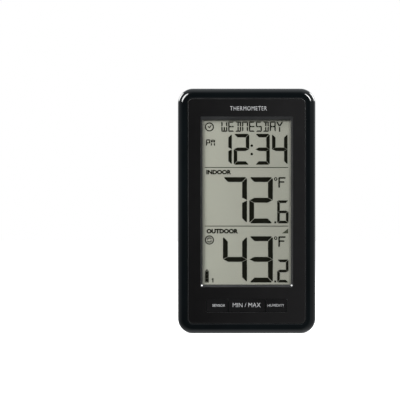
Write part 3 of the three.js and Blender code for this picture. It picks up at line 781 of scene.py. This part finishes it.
def thick(flat, front, back):
    """Flat polygons made into solids between two depths, their open edges walled."""
    points, faces = flat
    count = len(points)
    solid_points = [(x, front, z) for x, z in points] + [(x, back, z) for x, z in points]
    solid_faces = list(faces) + [tuple(i + count for i in reversed(f)) for f in faces]
    edges = {}
    for face in faces:
        for a, b in zip(face, face[1:] + face[:1]):
            edges[(a, b)] = True
    for a, b in edges:
        if (b, a) not in edges:
            solid_faces.append((b, a, a + count, b + count))
    return Solid(solid_points, solid_faces)


def polygons(outlines):
    """Outlines as one set of flat polygons, wound alike; those that touch share their points."""
    points, faces, known = [], [], {}
    for outline in outlines:
        area = sum(a[0] * b[1] - b[0] * a[1] for a, b in zip(outline, outline[1:] + outline[:1]))
        face = []
        for x, z in outline if area > 0 else reversed(outline):
            key = (round(x, 4), round(z, 4))
            if key not in known:
                known[key] = len(points)
                points.append((x, z))
            face.append(known[key])
        faces.append(tuple(face))
    return points, faces


def polar(x, z, r, degrees):
    a = math.radians(degrees)
    return x + r * math.cos(a), z + r * math.sin(a)


def ring(x, z, outer, inner, start=0, end=360, steps=36):
    """A ring, or a part of one, as flat polygons."""
    outlines = []
    for i in range(steps):
        a, b = (start + (end - start) * (i + k) / steps for k in (0, 1))
        corners = ((inner, a), (outer, a), (outer, b), (inner, b))
        outlines.append([polar(x, z, r, turn) for r, turn in corners])
    return outlines


def bar(a, b, width):
    """A straight stroke between two points, as an outline."""
    (ax, az), (bx, bz) = a, b
    length = math.hypot(bx - ax, bz - az)
    nx, nz = -(bz - az) / length * width / 2, (bx - ax) / length * width / 2
    return [(ax + nx, az + nz), (ax - nx, az - nz), (bx - nx, bz - nz), (bx + nx, bz + nz)]


DIGITS = {"1": "bc", "2": "abged", "3": "abgcd", "4": "fgbc", "6": "afgecd", "7": "abc"}


def strokes(x0, x1, z0, z1, s, gap):
    """The seven mitred strokes of a figure, s thick, set apart by gap."""
    zm, h = (z0 + z1) / 2, s / 2
    tip = gap * 0.6
    c, k = s * 0.26, s * 0.16  # the blunting of the sharp tips

    def flipped(outline, left_right=False, up_down=False):
        return [(x0 + x1 - x if left_right else x, z0 + z1 - z if up_down else z) for x, z in outline]

    top = [(x0 + gap + c, z1), (x0 + gap + k, z1 - k), (x0 + s + gap, z1 - s)]
    top += flipped(reversed(top), left_right=True)
    side = [(x0, z1 - gap - c), (x0, zm + tip), (x0 + s, zm + h + tip), (x0 + s, z1 - s - gap)]
    side.append((x0 + k, z1 - gap - k))
    bar_left = [(x0 + gap + s, zm + h), (x0 + gap, zm), (x0 + gap + s, zm - h)]
    return {
        "a": top,
        "d": flipped(top, up_down=True),
        "f": side,
        "b": flipped(side, left_right=True),
        "e": flipped(side, up_down=True),
        "c": flipped(side, left_right=True, up_down=True),
        "g": bar_left + flipped(reversed(bar_left), left_right=True),
    }


def digit(char, x0, x1, z0, z1, s, gap):
    shapes = strokes(x0, x1, z0, z1, s, gap)
    return [shapes[key] for key in DIGITS[char]]


# The parts of a letter: a top, b c right, d bottom, e f left, g h middle left and right,
# i j diagonals up left and right, m n upright middle up and down.
LETTERS = {
    "W": "bcdefn", "E": "afgedh", "D": "abcdmn", "N": "abcef", "S": "afghcd",
    "A": "afebcgh", "Y": "ijn", "P": "afegbh", "M": "feijbc",
}


def slanted(ax, az, bx, bz, w):
    """A diagonal stroke from corner to corner of its cell."""
    rise = min(w * abs(bz - az) / abs(bx - ax), abs(bz - az) * 0.45)
    w = min(w, abs(bx - ax) * 0.6)
    sx, sz = math.copysign(w, bx - ax), math.copysign(rise, bz - az)
    return [(ax, az), (ax + sx, az), (bx, bz - sz), (bx, bz), (bx - sx, bz), (ax, az + sz)]


def letter(char, x0, x1, z0, z1, s):
    """A letter of a segment display: outlines of its strokes, s thick."""
    keys = LETTERS[char]
    h, g = s / 2, s * 0.11
    xm, zm = (x0 + x1) / 2, (z0 + z1) / 2
    top, bottom = (z1 - s - g if "a" in keys else z1), (z0 + s + g if "d" in keys else z0)
    left, right = (x0 + s + g, x1 - s - g) if "f" in keys else (x0, x1)
    inner = h + g if "m" in keys else g / 2
    over, under = zm + h * 0.7, zm - h * 0.7
    tip, slant = x0 + g + h, s * 0.62
    cells = strokes(x0, x1, z0, z1, s, g)
    cells["g"] = [(x0 + g, zm), (tip, zm - h), (xm - g, zm - h), (xm - g, zm + h), (tip, zm + h)]
    cells["h"] = [(x0 + x1 - x, z) for x, z in cells["g"]]
    cells["i"] = slanted(left, top, xm - inner, over, slant)
    cells["j"] = slanted(right, top, xm + inner, over, slant)
    cells["m"] = oblong(xm - h, xm + h, over, top)
    cells["n"] = oblong(xm - h, xm + h, bottom, under)
    return [cells[key] for key in keys]


# == the liquid crystal picture ==

INK_FRONT, INK_BACK = -9.99, -9.905
ICON_X = -23.1


def lcd_piece(name, *flats, material=INK):
    solid = together(thick(flat, INK_FRONT, INK_BACK) for flat in flats)
    piece(f"lcd_{name}", solid, material, "case_body", "lcd_ink")


BIG_DIGIT = 28.6  # the height of a temperature's digits


def unit_mark(z0):
    """The degree ring and the F beside a temperature that starts at z0."""
    left, top, stroke, bevel = 19.6, z0 + BIG_DIGIT, 0.95, 0.4
    inner = left + stroke
    outlines = ring(17.95, top - 1.15, 1.1, 0.5, steps=20)
    outlines.append(oblong(left, inner, top - 6.5, top - bevel))
    arm = [(inner, top - stroke), (24.0, top - stroke), (24.0, top), (left + bevel, top)]
    outlines.append(arm + [(left, top - bevel), (inner, top - bevel)])
    outlines.append(bar((inner, top - 3.0), (23.3, top - 3.0), stroke * 0.9))
    return polygons(outlines)


def temperature(name, digits, tenth, z0):
    """Two large digits, a point and a small digit."""
    outlines = []
    for char, x0, x1 in (digits[0], -14.7, 0.2), (digits[1], 1.6, 16.2):
        outlines += digit(char, x0, x1, z0, z0 + BIG_DIGIT, 3.0, 0.2)
    outlines += digit(tenth, 18.9, 25.9, z0, z0 + 14.2, 1.62, 0.13)
    outlines.append(rounded(17.1, 18.3, z0, z0 + 1.2, 0.25, 3))
    lcd_piece(f"{name}_digits", polygons(outlines), unit_mark(z0))


def clock_digits():
    outlines = []
    for char, x0, x1 in ("1", -18.9, -9.2), ("2", -8.0, 1.6), ("3", 5.3, 14.3), ("4", 15.7, 25.3):
        outlines += digit(char, x0, x1, 104.4, 123.5, 2.15, 0.14)
    outlines += [circle(3.15, z, 0.8, 16) for z in (111.0, 116.2)]
    lcd_piece("clock_digits", polygons(outlines))


def weekday():
    """The day's name, and the small PM beside the clock."""
    outlines = []
    for text, start, pitch, width, z0, z1, stroke in (
        ("WEDNESDAY", -15.7, 4.28, 3.7, 124.8, 131.2, 0.8),
        ("PM", -25.2, 3.0, 2.6, 115.8, 120.1, 0.74),
    ):
        for i, char in enumerate(text):
            x = start + i * pitch
            outlines += letter(char, x, x + width, z0, z1, stroke)
    lcd_piece("weekday", polygons(outlines))


def clock_icon():
    x, z = ICON_X, 127.8
    heel, fork = (x - 0.2, z - 0.75), (x, z - 0.05)
    outlines = ring(x, z, 2.8, 2.12)
    outlines.append([heel, (x + 0.2, z - 0.75), (x + 1.35, z + 0.85), (x + 0.95, z + 1.15), fork])
    outlines.append([heel, fork, (x - 0.75, z + 0.6), (x - 1.1, z + 0.25)])
    lcd_piece("clock_icon", polygons(outlines))


def sensor_icon():
    """A ring round two arrows that chase each other."""
    x, z = ICON_X, 57.8
    outlines = ring(x, z, 2.85, 2.15)
    for start in (25, 205):
        end = start + 125
        outlines += ring(x, z, 1.62, 0.95, start, end, 14)
        outlines.append([polar(x, z, 0.72, end), polar(x, z, 1.85, end), polar(x, z, 1.3, end + 35)])
    lcd_piece("sensor_icon", polygons(outlines))


def battery_icon():
    x0, x1, z0, z1 = -25.9, -23.4, 31.5, 38.8
    wall, gap, shoulder = 0.3, 0.11, 0.65
    outlines = [oblong(x0 + shoulder, x1 - shoulder, z1 + 0.05, z1 + 0.75)]
    outside = oblong(x0, x1, z0, z1)
    inside = oblong(x0 + wall, x1 - wall, z0 + wall, z1 - wall)
    for i in range(4):
        j = (i + 1) % 4
        outlines.append([outside[i], outside[j], inside[j], inside[i]])
    tall = (z1 - z0 - 2 * wall - 4 * gap) / 3
    for i in range(3):
        low = z0 + wall + gap + i * (tall + gap)
        outlines.append(oblong(x0 + wall + gap, x1 - wall - gap, low, low + tall))
    lcd_piece("battery_icon", polygons(outlines))


def small_marks():
    """The channel's figure one, the headings of the two fields, their lines and the signal mark."""
    one = [bar((-20.9, 31.5), (-20.9, 34.1), 0.7), bar((-21.7, 33.35), (-21.2, 33.8), 0.5)]
    lcd_piece("channel_digit", polygons(one))
    lcd_piece("indoor_label", word("INDOOR", -25.0, -9.5, 98.4, 101.2, 0.055))
    lcd_piece("outdoor_label", word("OUTDOOR", -24.9, -5.3, 61.8, 64.7, 0.06))
    lcd_piece("dividers", polygons([bar((-25.9, z), (25.7, z), 0.42) for z in (102.7, 66.4)]))
    lcd_piece("signal_mark", polygons([[(21.9, 61.9), (25.7, 61.9), (25.7, 64.9)]]), material=FAINT_INK)


def display():
    weekday()
    clock_icon()
    clock_digits()
    temperature("indoor", "72", "6", 68.1)
    temperature("outdoor", "43", "2", 31.5)
    sensor_icon()
    battery_icon()
    small_marks()


def printing():
    """The words on the keys and the face."""
    key_y, face_y = box_mm("key_min_max")[0].y, FACE_LOW.y
    for name, text, body, y, box, weight, spacing in (
        ("sensor", "SENSOR", "sensor_key", key_y, (-21.3, -13.3, 16.6, 18.2), 0.01, 1.0),
        ("min_max", "MIN / MAX", "min_max_key", key_y, (-8.7, 8.6, 16.3, 19.0), 0.0, 1.0),
        ("humidity", "HUMIDITY", "humidity_key", key_y, (12.9, 23.2, 16.6, 18.2), 0.0, 1.0),
        ("heading", "THERMOMETER", "case_body", face_y, (-10.3, 12.4, 137.9, 140.5), 0.0, 1.15),
    ):
        solid = thick(word(text, *box, weight, spacing), y - 0.02, y + 0.01)
        piece(f"print_{name}", solid, PRINT, body, "key_print")


# == back ==

PARTING_STEP = 0.5
SIDE_LEAN = 1.5
BACK_INSET = 5.5
BACK_START = 8.0
BASE_ROUND = 3.0
FLOOR_SKIN = 2.7
SPLIT_BACK = -2.65
WALL_Y = BACK_Y - SKIN
INTO_WALL = BACK_Y - 1.5
THROUGH_WALL = WALL_Y - 1


def base_inset(y):
    past = max(y - (BACK_Y - BASE_ROUND), 0)
    return BASE_ROUND - math.sqrt(BASE_ROUND**2 - past**2)


def rear_shell():
    """The back shell's outside and its hollow, from the parting to the flat of the back."""
    edge = PARTING_STEP + 0.2
    outer = [(case_outline(edge, edge, 0.2), SPLIT_BACK)]
    outer.append((case_outline(PARTING_STEP, PARTING_STEP, 0), SPLIT_BACK + 0.2))
    sides = PARTING_STEP + SKIN
    inner = [(case_outline(sides, sides, FLOOR_SKIN), SPLIT_BACK - 1)]
    for inwards, along in quarter(20):
        inset = SIDE_LEAN + (BACK_INSET - SIDE_LEAN) * inwards
        y = BACK_START + (BACK_Y - BACK_START) * along
        outer.append((case_outline(inset, inset, base_inset(y)), y))
        sides = inset + SKIN
        inner_y = BACK_START + (WALL_Y - BACK_START) * along
        inner.append((case_outline(sides, sides, base_inset(y) + FLOOR_SKIN), inner_y))
    return stack(outer), stack(inner)


def keyhole_at(grow):
    """The entry hole with its slot above."""
    entry_z, slot_z, r, s = 128.5, 135.5, 4.3 + grow, 2.2 + grow
    join_angle = math.acos(s / r)
    outline = []
    for i in range(33):
        a = math.pi - join_angle + (math.pi + 2 * join_angle) * i / 32
        outline.append((r * math.cos(a), entry_z + r * math.sin(a)))
    for i in range(17):
        a = math.pi * i / 16
        outline.append((s * math.cos(a), slot_z + s * math.sin(a)))
    return outline


BAY = (28.8, 51.8, 82.6, -2.8)  # half width, bottom, top, floor
DOOR_HOLE = (30.6, 50.0, 84.4)
SEAT_Y = 12.1
SETTING_Z = 99.0


def back_cut(outline_at, inner, chamfer):
    """A cutter out through the back, chamfered at its face."""
    return chamfered_cut(outline_at, BACK_Y, inner, OUT, chamfer)


def rear_joins():
    """Bay walls, stand recess, key walls, keyhole block, screw bosses and the lip at the parting."""
    half, low, high, floor = BAY
    wall, key_half, key_wall = 2.6, 4.2, (21.1, 22.5)
    key_low, key_high = SETTING_Z - key_half, SETTING_Z + key_half
    parts = [block(-half - wall, half + wall, floor - 1.2, SEAT_Y, low - wall, high + wall)]
    parts.append(block(-24.6, 24.6, 8.4, INTO_WALL, 1.8, 48.2))
    parts.append(block(-key_wall[1], key_wall[1], 5, 6.4, key_low, key_high))
    for side in (-1, 1):
        x0, x1 = sorted(side * x for x in key_wall)
        parts.append(block(x0, x1, 5, INTO_WALL, key_low, key_high))
    parts.append(block(-7.5, 7.5, 5.8, INTO_WALL, 121.8, 141.2))
    for node in CASE_SCREWS:
        at = middle(node)
        parts.append(prism(circle(at.x, at.z, 4), -2.9, INTO_WALL))
    parts.append(outline_ring([(2.5, -4.6), (2.5, 0.5), (3.6, 0.5), (3.6, -4.6)]))
    return parts


def rear_cuts():
    """Bay, door seat, hinge and latch notches, stand recess, keyhole, keys, vents and screw holes."""
    half, low, high, floor = BAY
    door_half, door_low, door_high = DOOR_HOLE
    cuts = [block(-half, half, floor, OUT, low, high)]
    cuts.append(back_cut(rounded_at(-door_half, door_half, door_low, door_high, 0.8), SEAT_Y, 0.25))
    for x in (-20, 20):
        cuts.append(block(x - 3.3, x + 3.3, 9.6, SEAT_Y + 0.1, low - 3.6, low + 1))
    cuts.append(back_cut(rounded_at(-6.6, 6.6, door_high - 1, 87.9, 1.2), 12.4, 0.25))
    for node in ("battery_upper", "battery_lower"):
        z = middle(node).z
        cuts.append(block(-half - 3.6, -28.7, -1.2, -0.4, z - 1.7, z + 1.7))
    cuts.append(back_cut(lambda grow: rounded(-22.4, 22.4, 3.4, 46.6, 1.0, 5, grow * 0.6), 10, 0.3))
    cuts.append(lathe([(0, -23.7), (1.25, -23.7), (1.25, 23.7), (0, 23.7)], stand_place(), 28))
    cuts.append(block(-6, 6, 7.3, WALL_Y, 123.3, 139.7))
    cuts.append(back_cut(keyhole_at, THROUGH_WALL, 0.4))
    for name in SETTING_KEYS:
        at = middle(f"key_{name}")
        key_at = rounded_at(at.x - 4.8, at.x + 4.8, at.z - 2.9, at.z + 2.9, 2.85, 8)
        cuts.append(back_cut(key_at, THROUGH_WALL, 0.3))
        cuts.append(prism(circle(at.x, at.z, 1.9, 28), 4, 7))
    for i in range(6):
        z = 111 + i * 2.9
        cuts.append(back_cut(rounded_at(-31, -15, z - 0.7, z + 0.7, 0.65), THROUGH_WALL, 0.2))
    for node in CASE_SCREWS:
        at = middle(node)
        cuts.append(back_cut(lambda grow: circle(at.x, at.z, 2.9, 36, grow), 4, 0.35))
        cuts.append(prism(circle(at.x, at.z, 1.6, 24), -4, 5))
    return cuts


def contact_ribs():
    """Ribs at the ends of the bay that stand behind the edges of the contact plates."""
    low, high, floor = BAY[1:]
    ribs = []
    for z0, z1 in ((low - 0.1, low + 2.2), (65.0, 69.4), (high - 2.2, high + 0.1)):
        for side in (-1, 1):
            x0, x1 = sorted((side * 27.4, side * 28.2))
            ribs.append(block(x0, x1, floor - 0.1, 8, z0, z1))
    return ribs


def rear_case():
    outer, inner = rear_shell()
    made = to_object("rear_shell", outer, [SHELL])
    boolean(made, [inner], "DIFFERENCE")
    boolean(made, rear_joins(), "UNION")
    boolean(made, rear_cuts(), "DIFFERENCE")
    boolean(made, contact_ribs(), "UNION")
    shade(made)
    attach(made, "case_body")
    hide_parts("rear_case")


def stand_place():
    """Where a profile turned round the stand's axis goes."""
    joint = next(j for j in frame["joints"] if j["name"] == "stand_fold")
    pivot = Vector(joint["pos_m"]) / MM
    return lambda across, up, along: (along, pivot.y + across, pivot.z + up)


def rod(half, r, chamfer, steps):
    """A rod on the stand's axis, reaching half each way, with chamfered ends."""
    profile = [(0, -half), (r - chamfer, -half), (r, -half + chamfer)]
    profile += [(radius, -along) for radius, along in reversed(profile)]
    return lathe(profile, stand_place(), steps)


def stand():
    """A plate on a barrel with two pins, ribs inside and a notch for a fingernail."""
    x, front, back = 22.0, 11.2, STAND_HIGH.y
    panel = pillow(rounded_at(-x, x, 6.0, STAND_HIGH.z, 1.2, 6), front, back, 0.3, 0.45)
    joins = [rod(x, 1.8, 0.3, 36), rod(STAND_HIGH.x, 1.1, 0.2, 24)]
    for at in (-14, 0, 14):
        joins.append(pillow(rounded_at(at - 0.7, at + 0.7, 9, 40, 0.3, 3), 10.3, front + 0.3, 0.2))
    joins += [block(-x + 1.5, x - 1.5, 10.6, front + 0.3, z - 0.6, z + 0.6) for z in (15, 27, 38)]
    thumb = chamfered_cut(lambda grow: circle(0, 51.5, 9, 96, grow), back, front - 1, OUT, 0.35)
    piece("fold_out_stand", panel, SHELL, "stand", "shell_black", joins, [thumb], ["stand"])


def battery_door():
    """The door with its latch, hinge leaves, finger grips and arrow, and the foam strip inside."""
    x0, x1, z0, z1 = DOOR_LOW.x, DOOR_HIGH.x, 50.3, 84.1
    front, back = 12.3, DOOR_HIGH.y
    panel = pillow(rounded_at(x0, x1, z0, z1, 0.8), front, back, 0.1, 0.3)
    joins = [pillow(rounded_at(-6.2, 6.2, z1 - 2, DOOR_HIGH.z, 1.1), 12.7, back, 0.1, 0.25)]
    for x in (-20, 20):
        joins.append(block(x - 3, x + 3, 10.4, 11.6, DOOR_LOW.z, z0 + 1.2))
        joins.append(block(x - 3, x + 3, 10.5, front + 0.3, z0, z0 + 1.2))
    cuts = []
    for i in range(5):
        z = 76.2 + i * 1.5
        grip_at = rounded_at(-5.2, 5.2, z - 0.35, z + 0.35, 0.34)
        cuts.append(chamfered_cut(grip_at, back, back - 0.35, OUT, 0.15))
    cuts.append(prism([(-2.6, 71.2), (2.6, 71.2), (0, 67.6)], back - 0.3, OUT))
    piece("battery_cover", panel, SHELL, "battery_door", "shell_black", joins, cuts, ["battery_door"])
    low, high = box_mm("door_foam_pad")
    pad = pillow(rounded_at(low.x, high.x, low.z, high.z, 0.5, 4), low.y, high.y, 0.18, 0.05, 3)
    piece("foam_strip", pad, FOAM, "battery_door", "grey_foam", stands_for=["door_foam_pad"])


def key_signs():
    """The sign of each setting key as flat polygons round its middle."""
    level = bar((-1.1, 0), (1.1, 0), 0.5)
    upright = [bar((0, -1.1), (0, -0.25), 0.5), bar((0, 0.25), (0, 1.1), 0.5)]
    mirrored_set = word("SET", 2.1, -2.1, -0.75, 0.75, 0.01)  # so that it reads from behind
    return {"set": mirrored_set, "plus": polygons([level, *upright]), "minus": polygons([level])}


def setting_keys():
    signs = key_signs()
    for name in SETTING_KEYS:
        low, high = box_mm(f"key_{name}")
        at = (low + high) / 2
        cap_at = rounded_at(at.x - 4.5, at.x + 4.5, at.z - 2.6, at.z + 2.6, 2.5, 10)
        cap = pillow(cap_at, 11, high.y - 0.12, 0, 0.5, 5)
        flange = prism(rounded(low.x, high.x, low.z, high.z, 1), 10.6, 11.6)
        stem = prism(circle(at.x, at.z, 1.6), low.y, 11)
        piece(
            f"rear_key_{name}", cap, SETTING_RUBBER, f"{name}_key", "black_rubber",
            [flange, stem], (), [f"key_{name}"],
        )
        points, faces = signs[name]
        moved = [(x + at.x, z + at.z) for x, z in points]
        sign = thick((moved, faces), high.y - 0.2, high.y - 0.01)
        piece(f"rear_key_sign_{name}", sign, PRINT, f"{name}_key", "key_print")


# == power ==

CELL_Y = middle("battery_upper").y


def cell(node, toward):
    """An AA cell: wrapper rolled over the can's ends, a gilt band, and a nub at the positive end."""
    low, high = box_mm(node)
    at = (low + high) / 2
    r = (high.z - low.z) / 2
    length = high.x - low.x
    shoulder = length - 1.2
    steel, dark, band, line, collar = range(5)
    profile = [
        (0, 0.25), (4.4, 0.25), (4.6, 0.0), (6.1, 0.0), (6.3, 0.15), (r - 0.5, 0.12), (r - 0.15, 0.3),
        (r, 0.65), (r, 33.0), (r, 33.6), (r, 34.6), (r, 47.6), (r - 0.12, 48.1), (r - 0.5, shoulder - 0.35),
        (r - 1.0, shoulder - 0.2), (r - 1.2, shoulder - 0.45), (3.3, shoulder - 0.4), (2.85, shoulder - 0.1),
        (2.72, shoulder + 0.1), (2.7, length - 0.3), (2.4, length), (0, length),
    ]
    marks = [steel] * 4 + [dark] * 4 + [line, dark, band, band, band, band, collar, collar] + [steel] * 6
    start = high.x if toward < 0 else low.x

    def place(across, up, along):
        return (start + toward * along, at.y + across, at.z + up)

    solid = lathe(profile, place, 56, marks)
    piece(
        f"{node}_cell", solid, [TIN, WRAP_DARK, WRAP_BAND, WRAP_LINE, LABEL], "case_body", "cell_wrap",
        stands_for=[node],
    )
    sign_x, arm, stroke = start + toward * 42, 1.6, 0.7
    level = polygons([bar((sign_x - arm, at.z), (sign_x + arm, at.z), stroke)])
    halves = [bar((sign_x, at.z + way * stroke / 2), (sign_x, at.z + way * arm), stroke) for way in (1, -1)]
    top = at.y + r
    sign = together([thick(level, top - 0.02, top + 0.03), thick(polygons(halves), top - 0.16, top + 0.03)])
    piece(f"{node}_plus_sign", sign, WRAP_DARK, "case_body", "cell_wrap")


def spring(side, z, plate_x, end_x):
    """A conical spring wound from its plate to the flat end of a cell."""
    turns, steps, wide, narrow, wire = 4.5, 30, 4.6, 2.3, 0.42
    path = []
    count = int(turns * steps)
    for i in range(count + 1):
        t = i / count
        a = 2 * math.pi * turns * t
        r = wide + (narrow - wide) * t
        rise = min(max((t - 0.12) / 0.8, 0), 1)
        x = plate_x + (end_x - plate_x) * rise
        path.append((side * x, CELL_Y - r * math.cos(a), z + r * math.sin(a)))
    return tube(path, wire, 12)


def contact_plate(side, z0, z1, dimple_z=None):
    """A sprung steel plate with round corners, and a raised boss where a cell's nub touches it."""
    inner, outer = 28.3, 28.7

    def layer(x, grow):
        return [(side * x, y, z) for y, z in rounded(CELL_Y - 6, CELL_Y + 6, z0, z1, 1.2, 5, grow)]

    solid = skinned([layer(outer, 0), layer(inner + 0.08, 0), layer(inner, -0.08)])
    if dimple_z is None:
        return solid
    profile = [(0, 28.16), (1.2, 28.18), (2.0, 28.26), (2.6, 28.36), (2.6, 28.5), (0, 28.5)]
    return solid.add(lathe(profile, lambda across, up, x: (side * x, CELL_Y + across, dimple_z + up), 32))


def contacts():
    """Spring steel: two plates with tabs through the bay's wall, and the bridge between the cells."""
    upper, lower = middle("battery_upper").z, middle("battery_lower").z
    half, plate_x, cell_x = 6, 28.0, 22.9
    tab_end = box_mm("battery_contact_positive")[0].x

    def tab(z):
        return block(tab_end, -28.5, -1, -0.6, z - 1.5, z + 1.5)

    positive = contact_plate(-1, upper - half, upper + half, upper).add(tab(upper))
    negative = contact_plate(-1, lower - half, lower + half).add(tab(lower))
    negative.add(spring(-1, lower, plate_x, cell_x))
    bridge = contact_plate(1, lower - half, upper + half, lower).add(spring(1, upper, plate_x, cell_x))
    for name, solid in (("positive", positive), ("negative", negative), ("bridge", bridge)):
        node = f"battery_contact_{name}"
        piece(f"{node}_spring_steel", solid, TIN, "case_body", "tinned_steel", stands_for=[node])


# == screws ==


def cross_recess(x, z, front, back):
    """The cutter of a cross recess: two tapered bars that cross."""
    cuts = []
    for turned in (False, True):
        layers = []
        for y, long, short in ((back + 0.2, 1.45, 0.36), (front, 0.75, 0.22)):
            half_x, half_z = (short, long) if turned else (long, short)
            layers.append((rounded(x - half_x, x + half_x, z - half_z, z + half_z, 0.05, 2), y))
        cuts.append(stack(layers))
    return cuts


def screws():
    """Self-tapping screws: a pointed, threaded shank and a round head with a cross recess."""
    for node in CASE_SCREWS + BOARD_SCREWS:
        low, high = box_mm(node)
        at = (low + high) / 2
        r = (high.x - low.x) / 2
        shank, head, pitch = (0.8, 1.2, 0.45) if node in BOARD_SCREWS else (1.25, 1.8, 0.7)
        seat, thread = high.y - head, low.y + shank
        profile = [(0, low.y), (shank * 0.4, low.y), (shank, thread)]
        while thread + pitch < seat - 0.4:
            profile += [(shank, thread + pitch * 0.35), (shank * 0.8, thread + pitch * 0.7)]
            thread += pitch
            profile.append((shank, thread))
        profile += [(shank * 0.85, seat - 0.2), (shank * 0.85, seat), (r * 0.96, seat), (r, seat + 0.12)]
        for inwards, along in quarter(6):
            profile.append((r - r * 0.45 * inwards, seat + 0.5 + (head - 0.5) * along))
        profile.append((0, high.y))
        cuts = cross_recess(at.x, at.z, high.y - 0.95 * head / 1.4, high.y)
        piece(
            f"{node}_cross_head", turned_y(profile, at.x, at.z, 36), ZINC, "case_body", "tinned_steel",
            cuts=cuts, stands_for=[node],
        )


# == carried-over nodes ==

INSIDE = {
    "lens_tape": RUBBER, "lcd_polarizer": GROUND, "lcd_front_glass": GLASS, "lcd_rear_glass": GLASS,
    "lcd_reflector": GROUND, "display_frame": CARRIER, "zebra_strip_upper": RUBBER,
    "zebra_strip_lower": RUBBER, "main_board": BOARD, "driver_chip_blob": EPOXY, "clock_crystal": TIN,
    "filter_capacitor": EPOXY, "humidity_sensor": CERAMIC, "thermistor": EPOXY, "receiver_board": BOARD,
    "receiver_chip": EPOXY, "receiver_crystal": TIN, "antenna_coil": COPPER,
    "battery_lead_red": RED_WIRE, "battery_lead_black": BLACK_WIRE,
}
for name in FRONT_KEYS + SETTING_KEYS:
    INSIDE[f"switch_body_{name}"] = EPOXY
    INSIDE[f"switch_plunger_{name}"] = CERAMIC


def finish_inside():
    """New materials for the pieces that keep their CAD meshes."""
    for node, material in INSIDE.items():
        mesh = frame["nodes"][node].data
        mesh.materials.clear()
        mesh.materials.append(material)


# == studio ==


def floor():
    size, pale = 4.0, (0.86, 0.86, 0.86)
    mesh = bpy.data.meshes.new("floor")
    mesh.from_pydata([(x, y, 0) for x, y in oblong(-size, size, -size, size)], [], [(0, 1, 2, 3)])
    look = Look("floor", pale, 0.9)
    look.set("Emission Color", (1, 1, 1, 1))
    look.set("Emission Strength", 0.88)
    mesh.materials.append(look.material)
    made = put("floor", mesh)
    made.visible_glossy = made.visible_diffuse = False


def softbox(name, place, aim, size, power, roll=0.0):
    """An oval light that faces its aim, turned about that line by roll degrees."""
    light = bpy.data.lights.new(name, "AREA")
    light.shape = "ELLIPSE"
    light.size, light.size_y = size
    light.energy = power
    made = put(name, light)
    made.location = place
    made.rotation_mode = "QUATERNION"
    turn = Quaternion((0, 0, 1), math.radians(roll))
    made.rotation_quaternion = (Vector(aim) - Vector(place)).to_track_quat("-Z", "Y") @ turn


def world():
    """White to the camera. To all else it is dark in front, and brighter on every other side."""
    made = bpy.data.worlds.new("studio")
    bpy.context.scene.world = made
    made.use_nodes = True
    tree = made.node_tree

    def level(value, *stops):
        """Brightness along one direction, from -1 to 1."""
        place = add_node(tree, "MapRange", Value=value, From_Min=-1.0, From_Max=1.0)
        greys = [((position + 1) / 2, (bright,) * 3) for position, bright in stops]
        return add_ramp(tree, place.outputs["Result"], greys)

    way = add_node(tree, "TexCoord").outputs["Generated"]
    across, along, up = add_node(tree, "SeparateXYZ", Vector=way).outputs
    total = level(up, (-1, 0.36), (-0.75, 0.16), (-0.4, 0.015), (0.4, 0.015), (0.8, 0.14), (1, 0.38))
    for part in (
        level(along, (-0.2, 0.01), (0.3, 0.07), (1, 0.35)),
        level(across, (-1, 0.1), (-0.6, 0.0), (0.03, 0.0), (0.25, 0.09), (1, 0.14)),
    ):
        total = add_node(tree, "Math", _0=total, _1=part).outputs["Value"]
    dim = tree.nodes["Background"]
    dim.inputs["Color"].default_value = (0.93, 0.97, 1.0, 1)
    tree.links.new(total, dim.inputs["Strength"])
    pale = add_node(tree, "Background", Color=(1, 1, 1, 1), Strength=1.0).outputs["Background"]
    seen = add_node(tree, "LightPath").outputs["Is Camera Ray"]
    mix = add_node(tree, "MixShader", Fac=seen, _1=dim.outputs["Background"], _2=pale)
    tree.links.new(mix.outputs["Shader"], tree.nodes["World Output"].inputs["Surface"])


def camera():
    """Level with the unit and square to it; the unit stands right of the picture's middle."""
    distance = 1.8
    picture_width = 0.2477
    beside, above = 0.0289, 0.0068
    plane_y = (FRONT_Y + CROWN_DROP) * MM
    data = bpy.data.cameras.new("camera")
    data.sensor_width = 36
    data.lens = data.sensor_width * distance / picture_width
    data.clip_start, data.clip_end = 0.05, 50
    made = put("camera", data)
    made.location = (-beside, plane_y - distance, HEIGHT / 2 * MM + above)
    made.rotation_euler = (math.pi / 2, 0, 0)
    bpy.context.scene.camera = made


def studio():
    bpy.context.scene.view_settings.view_transform = "Standard"
    centre = Vector((0, 0, HEIGHT / 2 * MM))
    reach = 1.5
    for name, direction, size, power, roll in (
        ("key_left", (-0.545, -0.720, 0.430), (0.98, 0.80), 21, 35),
        ("key_right", (0.42, -0.83, 0.36), (0.66, 0.44), 11, -38),
        ("rear_left", (-0.7, 0.6, 0.45), (0.8, 0.8), 8, 0),
        ("rear_right", (0.7, 0.6, 0.45), (0.8, 0.8), 8, 0),
    ):
        softbox(name, centre + Vector(direction) * reach, centre, size, power, roll)


camera()
floor()
world()
studio()
front_case()
face_plate()
lens()
front_keys()
display()
printing()
rear_case()
stand()
battery_door()
setting_keys()
cell("battery_upper", toward=-1)
cell("battery_lower", toward=1)
contacts()
screws()
finish_inside()
